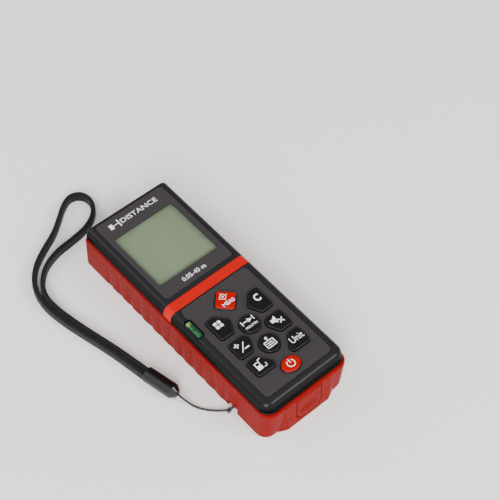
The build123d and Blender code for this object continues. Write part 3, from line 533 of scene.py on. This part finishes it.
NODE_FINISHES: dict[Finish, tuple[str, ...]] = {
    Finish.RED_SHELL: ("rear_housing", "port_flap"),
    Finish.BLACK_COVER: ("front_cover",),
    Finish.FACEPLATE: ("optics_faceplate",),
    Finish.RED_BAND: ("cross_band",),
    Finish.SEAL: ("housing_seal",),
    Finish.PANEL: ("display_fascia", "keypad_panel"),
    Finish.KEY: ("measure_key", "clear_key", "function_key", "min_max_key", "plus_minus_key",
                 "mute_key", "history_key", "reference_key", "unit_key", "power_key"),
    Finish.KEY_RED: ("measure_key_cap", "power_key_cap"),
    Finish.PANE: ("display_window",),
    Finish.DISPLAY: ("lcd_glass",),
    Finish.WHITE_PLASTIC: ("backlight_plate", "lcd_frame", "battery_plug"),
    Finish.DARK_PLASTIC: ("circuit_chips", "buzzer", "usb_tongue"),
    Finish.SILICONE: ("key_mat", "zebra_strip"),
    Finish.FOAM: ("battery_pad",),
    Finish.CELL: ("battery_cell",),
    Finish.WIRE_RED: ("battery_wire_red",),
    Finish.WIRE_BLACK: ("battery_wire_black",),
    Finish.BOARD: ("main_board", "charge_board"),
    Finish.GOLD: ("contact_pads", "header_pins"),
    Finish.STEEL: ("board_screws", "charge_board_screws", "casing_screws", "bench_screws"),
    Finish.BRIGHT: ("usb_socket", "laser_diode", "photodiode", "strap_pin"),
    Finish.BRASS: ("laser_barrel",),
    Finish.CAST: ("optical_bench",),
    Finish.LENS: ("receiver_lens", "collimator_lens", "laser_window"),
    Finish.WINDOW_RED: ("receiver_window",),
    Finish.VIAL: ("level_vial",),
    Finish.FLUID: ("level_fluid",),
    Finish.LABEL: ("rear_label",),
    Finish.BARREL: ("strap_barrel",),
}


# ---------------------------------------------------------------- mesh helpers
def mesh_object(name: str, bm: bmesh.types.BMesh, finish: Finish, smooth: bool = False) -> bpy.types.Object:
    """Turn a bmesh into an object with one finish.

    Args:
        name: The piece's name.
        bm: The mesh, which is freed.
        finish: Its finish.
        smooth: Whether its faces are smooth shaded.

    Returns:
        The new object, at the origin.
    """
    bmesh.ops.recalc_face_normals(bm, faces=bm.faces)
    mesh = bpy.data.meshes.new(name)
    bm.to_mesh(mesh)
    bm.free()
    for polygon in mesh.polygons:
        polygon.use_smooth = smooth
    piece = bpy.data.objects.new(name, mesh)
    bpy.context.scene.collection.objects.link(piece)
    mesh.materials.append(finish.material())
    return piece


def settle(piece: bpy.types.Object, body: str) -> bpy.types.Object:
    """Let a piece ride on a body, and log it."""
    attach(piece, body)
    LOG.info("%s rides on %s", piece.name, body)
    return piece


def smooth_line(points: Sequence[Sequence[float]], steps: int = 10) -> list[Vector]:
    """Return a smooth line that is led by control points.

    Args:
        points: Control points in metres.
        steps: How finely the line is drawn between them.
    """
    data = bpy.data.curves.new("guide", "CURVE")
    data.dimensions = "3D"
    data.resolution_u = steps
    spline = data.splines.new("NURBS")
    spline.points.add(len(points) - 1)
    for target, point in zip(spline.points, points):
        target.co = (*point, 1.0)
    spline.order_u = 3
    spline.use_endpoint_u = True
    guide = bpy.data.objects.new("guide", data)
    bpy.context.scene.collection.objects.link(guide)
    bpy.context.view_layer.update()
    mesh = bpy.data.meshes.new_from_object(guide.evaluated_get(bpy.context.evaluated_depsgraph_get()))
    line = [vertex.co.copy() for vertex in mesh.vertices]
    bpy.data.meshes.remove(mesh)
    bpy.data.objects.remove(guide)
    return line


def section_frame(line: Sequence[Vector], index: int) -> Matrix:
    """Return the place and turn of a cross-section at one point of a line.

    Args:
        line: The points along the middle.
        index: Which point.
    """
    ahead = (line[min(index + 1, len(line) - 1)] - line[max(index - 1, 0)]).normalized()
    side = Vector((0, 0, 1)).cross(ahead)
    side = side.normalized() if side.length > 0.05 else Vector((1, 0, 0))
    up = ahead.cross(side).normalized()
    turned = Matrix((up.cross(ahead).normalized(), up, ahead)).transposed().to_4x4()
    return Matrix.Translation(line[index]) @ turned


def sweep(bm: bmesh.types.BMesh, ring: list[bmesh.types.BMVert], line: Sequence[Vector],
          rings: Optional[object] = None) -> None:
    """Draw a cross-section along a line and close both ends.

    Args:
        bm: The mesh that holds the cross-section.
        ring: The cross-section's vertices round the origin, in order.
        line: The points along the middle.
        rings: An integer layer that notes which point each vertex belongs to.
    """
    frames = [section_frame(line, index) for index in range(len(line))]
    bmesh.ops.transform(bm, matrix=frames[0], verts=ring)
    edges = list(bm.faces.new(ring).edges)
    for index in range(1, len(line)):
        made = bmesh.ops.extrude_edge_only(bm, edges=edges)["geom"]
        moved = [item for item in made if isinstance(item, bmesh.types.BMVert)]
        edges = [item for item in made if isinstance(item, bmesh.types.BMEdge)
                 and all(vert in moved for vert in item.verts)]
        step = frames[index] @ frames[index - 1].inverted()
        bmesh.ops.transform(bm, matrix=step, verts=moved)
        if rings is not None:
            for vert in moved:
                vert[rings] = index
    bmesh.ops.contextual_create(bm, geom=edges)


def round_tube(name: str, points: Sequence[Sequence[float]], radius: float,
               finish: Finish) -> tuple[bpy.types.Object, list[Vector]]:
    """Return a round cord along control points, and the line through its middle."""
    line = smooth_line(points)
    bm = bmesh.new()
    ring = bmesh.ops.create_circle(bm, cap_ends=False, segments=12, radius=radius)["verts"]
    sweep(bm, ring, line)
    return mesh_object(name, bm, finish, True), line


class Print:
    """A thin printed mark made of bars, arcs, dots and words, in millimetres from its centre."""

    def __init__(self, thickness: float = 0.05) -> None:
        """Start an empty mark.

        Args:
            thickness: How thick the ink is, in millimetres.
        """
        self.bm = bmesh.new()
        self.thickness = thickness

    def bar(self, x: float, y: float, length: float, width: float, angle: float = 0.0) -> "Print":
        """Add a straight bar, turned by angle degrees about its middle."""
        place = Matrix.Translation((x, y, 0)) @ Matrix.Rotation(math.radians(angle), 4, "Z")
        size = Matrix.Diagonal((length, width, self.thickness, 1))
        bmesh.ops.create_cube(self.bm, size=1.0, matrix=place @ size)
        return self

    def line(self, start: Point, end: Point, width: float) -> "Print":
        """Add a bar from one point to another."""
        dx, dy = end[0] - start[0], end[1] - start[1]
        middle = ((start[0] + end[0]) / 2, (start[1] + end[1]) / 2)
        return self.bar(*middle, math.hypot(dx, dy), width, math.degrees(math.atan2(dy, dx)))

    def dot(self, x: float, y: float, radius: float, sides: int = 24) -> "Print":
        """Add a filled disc, or a polygon when it has few sides."""
        bmesh.ops.create_cone(self.bm, cap_ends=True, segments=sides, radius1=radius, radius2=radius,
                              depth=self.thickness, matrix=Matrix.Translation((x, y, 0)))
        return self

    def arc(self, x: float, y: float, radius: float, width: float, start: float = 0.0,
            sweep: float = 360.0) -> "Print":
        """Add a ring or part of one, from start degrees on."""
        section = bmesh.ops.create_grid(self.bm, x_segments=1, y_segments=1, size=0.5)
        verts = section["verts"]
        stand = Matrix.Rotation(math.radians(90), 4, "X")
        size = Matrix.Diagonal((width, self.thickness, 1, 1))
        turn = Matrix.Rotation(math.radians(start), 4, "Z")
        move = Matrix.Translation((x, y, 0)) @ turn @ Matrix.Translation((radius, 0, 0))
        bmesh.ops.transform(self.bm, matrix=move @ stand @ size, verts=verts)
        faces = list({face for vert in verts for face in vert.link_faces})
        whole = sweep >= 360
        geometry = faces + verts + list({edge for face in faces for edge in face.edges})
        bmesh.ops.spin(self.bm, geom=geometry, cent=(x, y, 0), axis=(0, 0, 1), dvec=(0, 0, 0),
                       angle=math.radians(sweep), steps=max(6, int(sweep / 9)), use_merge=whole,
                       use_normal_flip=False, use_duplicate=False)
        return self

    def shape(self, points: Sequence[Point]) -> "Print":
        """Add a filled outline."""
        half = self.thickness / 2
        face = self.bm.faces.new([self.bm.verts.new((x, y, -half)) for x, y in points])
        raised = bmesh.ops.extrude_face_region(self.bm, geom=[face])["geom"]
        moved = [item for item in raised if isinstance(item, bmesh.types.BMVert)]
        bmesh.ops.translate(self.bm, vec=(0, 0, self.thickness), verts=moved)
        return self

    def words(self, text: str, x: float, y: float, height: float, width: float = 0.0,
              weight: float = 0.0) -> "Print":
        """Add a word.

        Args:
            text: What it says.
            x: Middle of the word.
            y: Middle of its capitals.
            height: Height of its capitals.
            width: Length that it is fitted to, or 0 to leave it.
            weight: How much its strokes are thickened.
        """
        curve = bpy.data.curves.new("word", "FONT")
        curve.body = text
        curve.extrude = self.thickness / 2
        curve.offset = weight
        curve.resolution_u = 3
        holder = bpy.data.objects.new("word", curve)
        bpy.context.scene.collection.objects.link(holder)
        bpy.context.view_layer.update()
        mesh = bpy.data.meshes.new_from_object(holder.evaluated_get(bpy.context.evaluated_depsgraph_get()))
        bpy.data.objects.remove(holder)
        xs = [vertex.co.x for vertex in mesh.vertices]
        ys = [vertex.co.y for vertex in mesh.vertices]
        tall = height / (max(ys) - min(ys))
        wide = width / (max(xs) - min(xs)) if width else tall
        centre = Matrix.Translation((-(max(xs) + min(xs)) / 2, -(max(ys) + min(ys)) / 2, 0))
        mesh.transform(Matrix.Translation((x, y, 0)) @ Matrix.Diagonal((wide, tall, 1, 1)) @ centre)
        self.bm.from_mesh(mesh)
        bpy.data.meshes.remove(mesh)
        return self

    def lay(self, name: str, centre: Sequence[float], body: str, slot: str,
            finish: Finish = Finish.PRINT, face_down: bool = False) -> bpy.types.Object:
        """Put the mark on a flat surface.

        Args:
            name: The piece's name.
            centre: Where the mark's centre goes, in metres.
            body: The body that it rides on.
            slot: Not used.
            finish: Its finish.
            face_down: Whether it is read from below.

        Returns:
            The mark as an object.
        """
        turn = Matrix.Rotation(math.pi, 4, "Y") if face_down else Matrix.Identity(4)
        place = Matrix.Translation(centre) @ turn @ Matrix.Scale(MM, 4)
        bmesh.ops.transform(self.bm, matrix=place, verts=self.bm.verts)
        bmesh.ops.remove_doubles(self.bm, verts=self.bm.verts, dist=1e-7)
        return settle(mesh_object(name, self.bm, finish), body)


# ---------------------------------------------------------------- sub-assemblies
@dataclass
class Casing:
    """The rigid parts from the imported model, which only need their finishes."""

    nodes: dict[str, bpy.types.Object]

    def dress(self) -> None:
        """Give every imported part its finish."""
        for finish, names in NODE_FINISHES.items():
            for name in names:
                slots = self.nodes[name].data.materials
                slots.clear()
                slots.append(finish.material())
                LOG.info("%s: %s", name, finish.value.name)


@dataclass
class Legends:
    """White marks on the keys and words on the panels. Sizes are in millimetres."""

    sink: float = 0.01
    bold: float = 0.025
    stroke: float = 0.42
    fascia_word: str = "DISTANCE"
    range_word: str = "0.05-40 m"
    marks: dict[str, Callable[[Print], Print]] = field(default_factory=dict)

    def __post_init__(self) -> None:
        """List the mark of each key."""
        self.marks = {
            "measure_key": self._measure, "function_key": self._function, "clear_key": self._clear,
            "min_max_key": self._min_max, "plus_minus_key": self._plus_minus,
            "mute_key": self._mute, "history_key": self._history,
            "reference_key": self._reference, "unit_key": self._unit, "power_key": self._power}

    def build(self) -> None:
        """Print every key and both ends of the upper panel."""
        for key, draw in self.marks.items():
            top = key + "_cap" if key in ("measure_key", "power_key") else key
            low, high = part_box(top)
            centre = ((low.x + high.x) / 2, (low.y + high.y) / 2, high.z - self.sink * MM)
            draw(Print()).lay(key + "_legend", centre, key, "legend_print")
        self._panel_words()

    def _panel_words(self) -> None:
        """Print the words above and below the display."""
        low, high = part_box("display_fascia")
        window_low, window_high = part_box("display_window")
        above = (0.0, (window_high.y + high.y) / 2 + 0.1 * MM, high.z - self.sink * MM)
        below = (-0.6 * MM, (window_low.y + low.y) / 2 + 0.5 * MM, high.z - self.sink * MM)
        top = Print().words(self.fascia_word, 2.3, 0, 2.3, 18.5)
        self._beam(top, -10.2)
        top.lay("fascia_title", above, ROOT, "legend_print")
        Print().words(self.range_word, 0, 0, 2.1, 11.5).lay("fascia_range", below, ROOT,
                                                                "legend_print")

    @staticmethod
    def _beam(mark: Print, x: float) -> None:
        """Add a meter, its dashed beam and the wall that it reaches to a mark."""
        mark.bar(x - 1.6, 0, 1.7, 2.6).bar(x + 2.2, 0, 0.55, 3.8)
        for index in range(3):
            mark.bar(x - 0.2 + index * 0.85, 0, 0.5, 0.45)

    def _measure(self, mark: Print) -> Print:
        """Draw a target over the word for measure."""
        mark.arc(0, 1.7, 1.2, 0.24).dot(0, 1.7, 0.4)
        for side in (-1, 1):
            mark.bar(side * 1.75, 1.7, 0.6, 0.24).bar(0, 1.7 + side * 1.6, 0.24, 0.5)
        return mark.words("MEAS", 0.1, -1.7, 1.75, 5.6, 0.01)

    def _function(self, mark: Print) -> Print:
        """Draw four squares."""
        for sx in (-1, 1):
            for sy in (-1, 1):
                mark.bar(-0.85 + sx * 0.95, 1.1 + sy * 0.92, 1.4, 1.34)
        return mark

    def _clear(self, mark: Print) -> Print:
        """Draw the letter for clear."""
        return mark.words("C", 1.0, 1.1, 3.5, 2.6, 0.03)

    def _min_max(self, mark: Print) -> Print:
        """Draw an arrow between two stops over the words for largest and smallest."""
        for side in (-1, 1):
            mark.bar(side * 2.75, 1.5, 0.42, 2.2)
        mark.bar(-0.9, 1.5, 2.4, 0.45).shape([(0.1, 0.5), (2.2, 1.5), (0.1, 2.5)])
        return mark.words("MAX/MIN", 0, -1.2, 1.15, 5.7)

    def _plus_minus(self, mark: Print) -> Print:
        """Draw plus, slash and minus."""
        mark.bar(-2.1, 1.6, 2.3, 0.55).bar(-2.1, 1.6, 0.55, 2.3)
        mark.line((-2.0, -2.2), (1.2, 1.6), 0.42)
        return mark.bar(0.9, -1.3, 2.2, 0.55)

    def _mute(self, mark: Print) -> Print:
        """Draw a loudspeaker with a cross beside it."""
        mark.shape([(-2.4, 0.4), (-1.3, 0.4), (0.2, -0.7), (0.2, 3.1), (-1.3, 2.0), (-2.4, 2.0)])
        return mark.line((0.5, -1.3), (2.5, 0.7), 0.45).line((0.5, 0.7), (2.5, -1.3), 0.45)

    def _history(self, mark: Print) -> Print:
        """Draw a record sheet with its clip."""
        for side in (-1, 1):
            mark.bar(side * 2.15, -0.6, 0.4, 3.2)
        mark.bar(0, -2.0, 4.3, 0.4).bar(0, 0.9, 4.3, 0.4)
        for row in range(2):
            mark.bar(0, -0.1 - 0.95 * row, 3.0, 0.38)
        return mark.bar(0, 1.5, 0.5, 1.2).dot(0, 2.3, 0.6)

    def _reference(self, mark: Print) -> Print:
        """Draw the meter against the edge that it measures from."""
        mark.bar(-1.5, -1.0, 2.5, 2.0).bar(-2.5, 0.6, 0.5, 1.3).bar(-0.5, 0.6, 0.5, 1.3)
        mark.bar(-1.5, 1.4, 2.5, 0.4).bar(0.4, 2.3, 1.5, 0.34).bar(-0.2, 1.9, 0.34, 1.1)
        return mark.bar(1.0, -1.8, 1.5, 0.34).bar(1.6, -1.2, 0.34, 1.5)

    def _unit(self, mark: Print) -> Print:
        """Draw the word for unit."""
        return mark.words("Unit", 0.6, 0.2, 2.9, 6.2)

    def _power(self, mark: Print) -> Print:
        """Draw a ring open at the top with a stroke in the gap."""
        return mark.arc(0, 0, 1.6, 0.4, 125, 290).bar(0, 1.15, self.stroke, 1.9)


@dataclass
class SpiritLevel:
    """The reading rings of the level. Sizes are in metres."""

    ring_spacing: float = 2.9 * MM
    ring_thickness: float = 0.16 * MM

    def build(self) -> None:
        """Add the two dark rings round the tube."""
        low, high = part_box("level_vial")
        centre = (low + high) / 2
        radius = (high.x - low.x) / 2
        bm = bmesh.new()
        for side in (-1, 1):
            y = centre.y + side * self.ring_spacing / 2
            self._ring(bm, centre.x, y, centre.z, radius)
        settle(mesh_object("level_rings", bm, Finish.DARK_PLASTIC, True), ROOT)

    def _ring(self, bm: bmesh.types.BMesh, x: float, y: float, z: float, radius: float) -> None:
        """Add one ring that lies in the surface of the tube."""
        place = Matrix.Translation((x + radius, y, z))
        made = bmesh.ops.create_circle(bm, cap_ends=False, segments=8, radius=self.ring_thickness / 2)
        verts = made["verts"]
        bmesh.ops.transform(bm, matrix=place, verts=verts)
        edges = list({edge for vert in verts for edge in vert.link_edges})
        bmesh.ops.spin(bm, geom=edges + verts, cent=(x, y, z), axis=(0, 1, 0), dvec=(0, 0, 0),
                       angle=2 * math.pi, steps=48, use_merge=True, use_normal_flip=False,
                       use_duplicate=False)


@dataclass
class Strap:
    """The wrist strap: cord, knot and woven loop. Routes are in millimetres."""

    cord_diameter: float = 0.9 * MM
    tape_width: float = 4.6 * MM
    tape_thickness: float = 2.1 * MM
    tape_lift: float = 2.4
    cord_route: tuple[tuple[float, float, float], ...] = (
        (-23.4, -35.4, 1.0), (-21.4, -35.7, 0.75), (-19.4, -35.9, 0.7), (-18.2, -36.0, 1.5),
        (-18.4, -36.0, 2.9), (-20.0, -36.1, 3.3), (-21.9, -36.3, 2.3), (-23.6, -35.6, 1.6),
        (-26.6, -32.9, 0.9), (-29.6, -29.6, 0.65), (-32.1, -25.9, 1.0), (-33.6, -21.8, 2.2),
        (-34.4, -18.3, 3.3))
    tape_route: tuple[Point, ...] = (
        (-38.8, -4.1), (-40.4, 6.0), (-42.6, 17.0), (-45.4, 28.0), (-48.0, 39.0), (-49.2, 50.0),
        (-46.8, 59.5), (-40.6, 66.9), (-32.2, 71.9), (-24.6, 75.6), (-18.2, 80.4), (-12.4, 85.2),
        (-7.2, 87.4), (-2.9, 85.6), (-1.3, 81.2), (-2.7, 76.4), (-6.8, 72.0), (-13.0, 69.2),
        (-20.6, 68.1), (-29.2, 67.3), (-37.4, 64.2), (-44.0, 57.8), (-46.7, 50.0), (-45.6, 39.4),
        (-43.1, 27.6), (-40.4, 16.7), (-38.2, 6.4), (-36.5, -3.6))

    def build(self, nodes: dict[str, bpy.types.Object]) -> None:
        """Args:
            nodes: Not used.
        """
        cord, line = round_tube("strap_cord", [[c * MM for c in point] for point in self.cord_route],
                                self.cord_diameter / 2, Finish.CORD)
        settle(cord, ROOT)
        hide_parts("strap_string")
        knot = self._knot()
        tape, path = self._tape()
        settle(tape, ROOT)
        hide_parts("strap_webbing")

    @staticmethod
    def _along(points: Sequence[Vector]) -> float:
        """Return the length of a line of points."""
        return sum((b - a).length for a, b in zip(points, points[1:]))

    def _knot(self) -> bpy.types.Object:
        """Return the small knot that closes the loop of cord."""
        low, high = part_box("strap_knot")
        size = 0.3 * MM
        centre = Vector((low.x + 1.15 * MM, (low.y + high.y) / 2, low.z + 1.35 * MM))
        points = []
        turns = 28
        for index in range(turns + 1):
            t = 2 * math.pi * index / turns
            points.append(centre + size * Vector((math.sin(t) + 2 * math.sin(2 * t),
                                                  -1.3 * math.sin(3 * t),
                                                  math.cos(t) - 2 * math.cos(2 * t))))
        bm = bmesh.new()
        ring = bmesh.ops.create_circle(bm, cap_ends=False, segments=10,
                                       radius=self.cord_diameter * 0.48)["verts"]
        sweep(bm, ring, points)
        knot = mesh_object("strap_knot_turns", bm, Finish.CORD, True)
        settle(knot, ROOT)
        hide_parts("strap_knot")
        return knot

    def _tape(self) -> tuple[bpy.types.Object, list[Vector]]:
        """Return the woven tape, which stands on its edge, and the line through its middle."""
        path = smooth_line([(x * MM, y * MM, self.tape_lift * MM) for x, y in self.tape_route])
        bm = bmesh.new()
        slots = bm.verts.layers.int.new("slot")
        rings = bm.verts.layers.int.new("ring")
        bm.loops.layers.uv.new("weave")
        ring = self._section(bm)
        for index, vert in enumerate(ring):
            vert[slots] = index
        sweep(bm, ring, path, rings)
        self._unwrap(bm, path, slots, rings, len(ring))
        return mesh_object("strap_tape", bm, Finish.WOVEN, True), path

    def _section(self, bm: bmesh.types.BMesh) -> list[bmesh.types.BMVert]:
        """Return one cross-section of the tape: a rounded band with shallow warps."""
        points = 44
        ring = bmesh.ops.create_circle(bm, cap_ends=False, segments=points, radius=1.0)["verts"]
        for index, vert in enumerate(ring):
            angle = 2 * math.pi * index / points
            flat_x = math.copysign(abs(math.cos(angle)) ** 0.35, math.cos(angle))
            flat_y = math.copysign(abs(math.sin(angle)) ** 0.62, math.sin(angle))
            ripple = 1 + 0.05 * math.cos(angle * 16)
            vert.co = Vector((flat_x * self.tape_thickness / 2 * ripple * 0.96,
                              flat_y * self.tape_width / 2 * 0.99, 0))
        return ring

    def _unwrap(self, bm: bmesh.types.BMesh, path: Sequence[Vector], slots: object, rings: object,
                count: int) -> None:
        """Lay the tape's UV map out in metres along and round it."""
        distances = [0.0]
        for before, after in zip(path, path[1:]):
            distances.append(distances[-1] + (after - before).length)
        around = 2 * (self.tape_width + self.tape_thickness) / count
        uv = bm.loops.layers.uv["weave"]
        for face in bm.faces:
            wraps = {loop.vert[slots] for loop in face.loops} == {0, count - 1}
            for loop in face.loops:
                slot = loop.vert[slots]
                if wraps and slot == 0:
                    slot = count
                loop[uv].uv = (distances[loop.vert[rings]], slot * around)


@dataclass
class RearLabel:
    """Generic print on the label on the back. Sizes are in millimetres."""

    def build(self) -> None:
        """Print a title, a range and a few ruled lines, read from below."""
        low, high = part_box("rear_label")
        centre = ((low.x + high.x) / 2, (low.y + high.y) / 2, low.z + 0.015 * MM)
        mark = Print().words("DISTANCE METER", 0, 15, 2.2, 22, 0.02)
        mark.words("0.05 - 40 m", 0, 10.5, 1.8, 12)
        for index in range(5):
            mark.bar(0, 5.5 - 3.2 * index, 24, 0.2)
        mark.bar(0, -14.5, 24, 0.3).bar(0, -18.5, 24, 0.3).bar(-12, -16.5, 0.3, 4).bar(12, -16.5, 0.3, 4)
        mark.lay("label_print", centre, ROOT, "label", Finish.LABEL_PRINT, face_down=True)


@dataclass
class Studio:
    """Floor, lights and camera. Lengths are in metres and angles in degrees."""

    azimuth: float = -43.80
    elevation: float = 53.63
    roll: float = 3.06
    distance: float = 0.59386
    target: tuple[float, float, float] = (0.02840, 0.01073, 0.01341)
    focal_length: float = 103.74
    floor_size: float = 6.0

    def build(self) -> None:
        """Set up everything that isn't the meter."""
        self._floor()
        self._camera()
        self._sky()
        self._softbox("window_light", (0.55, -0.95, 0.95), 0.5, 10.0, (1.0, 0.99, 0.97))
        self._softbox("left_light", (-0.95, -0.9, 0.95), 0.8, 30.0, (0.97, 0.98, 1.0))
        self._softbox("back_light", (-0.8, 0.9, 1.2), 0.5, 6.0, (1.0, 1.0, 1.0))

    def _floor(self) -> None:
        """Lay the pale surface under the meter."""
        bm = bmesh.new()
        bmesh.ops.create_grid(bm, x_segments=1, y_segments=1, size=self.floor_size / 2)
        floor = mesh_object("studio_floor", bm, Finish.TABLE)
        floor.location.z = -0.02 * MM

    def _camera(self) -> None:
        """Place the camera round its target."""
        azimuth, elevation = math.radians(self.azimuth), math.radians(self.elevation)
        back = Vector((math.sin(azimuth) * math.cos(elevation),
                       -math.cos(azimuth) * math.cos(elevation), math.sin(elevation)))
        ahead = -back
        right = ahead.cross(Vector((0, 0, 1))).normalized()
        up = right.cross(ahead)
        turn = math.radians(self.roll)
        rolled_right = right * math.cos(turn) + up * math.sin(turn)
        rolled_up = up * math.cos(turn) - right * math.sin(turn)
        data = bpy.data.cameras.new("camera")
        data.lens = self.focal_length
        data.sensor_width = 36.0
        data.clip_start = 0.01
        camera = bpy.data.objects.new("camera", data)
        bpy.context.scene.collection.objects.link(camera)
        turned = Matrix((rolled_right, rolled_up, back)).transposed().to_4x4()
        camera.matrix_world = Matrix.Translation(Vector(self.target) + back * self.distance) @ turned
        bpy.context.scene.camera = camera

    @staticmethod
    def _sky() -> None:
        """Fill the room with soft light that is dimmer where level faces mirror it."""
        shader = Shader("room", world=True)
        mirrored = {0: shader.place("Generated"), 1: (0.41, 0.43, 0.805)}
        towards = shader.add("ShaderNodeVectorMath", {"operation": "DOT_PRODUCT"}, mirrored, "Value")
        limits = {"Value": towards, "From Min": 0.62, "From Max": 0.93, "To Min": 1.3, "To Max": 0.12}
        shader.set(Color=(1.0, 0.99, 0.98), Strength=shader.add("ShaderNodeMapRange", {}, limits))
        bpy.context.scene.world = shader.material

    def _softbox(self, name: str, place: Sequence[float], size: float, power: float,
                 colour: Colour) -> None:
        """Hang a square light that faces the meter.

        Args:
            name: The light's name.
            place: Where it hangs.
            size: Length of its sides.
            power: Its power in watts.
            colour: Its colour.
        """
        data = bpy.data.lights.new(name, "AREA")
        data.size = size
        data.energy = power
        data.color = colour
        light = bpy.data.objects.new(name, data)
        bpy.context.scene.collection.objects.link(light)
        ahead = (Vector((0, 0, 0)) - Vector(place)).normalized()
        light.matrix_world = Matrix.Translation(place) @ ahead.to_track_quat("-Z", "Y").to_matrix().to_4x4()


def main() -> None:
    """Build the meter and its studio in order."""
    logging.basicConfig(level=logging.INFO, format="%(message)s")
    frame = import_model()
    Casing(frame["nodes"]).dress()
    Studio().build()
    Strap().build(frame["nodes"])
    Legends().build()
    SpiritLevel().build()
    RearLabel().build()


if __name__ == "__main__":
    main()
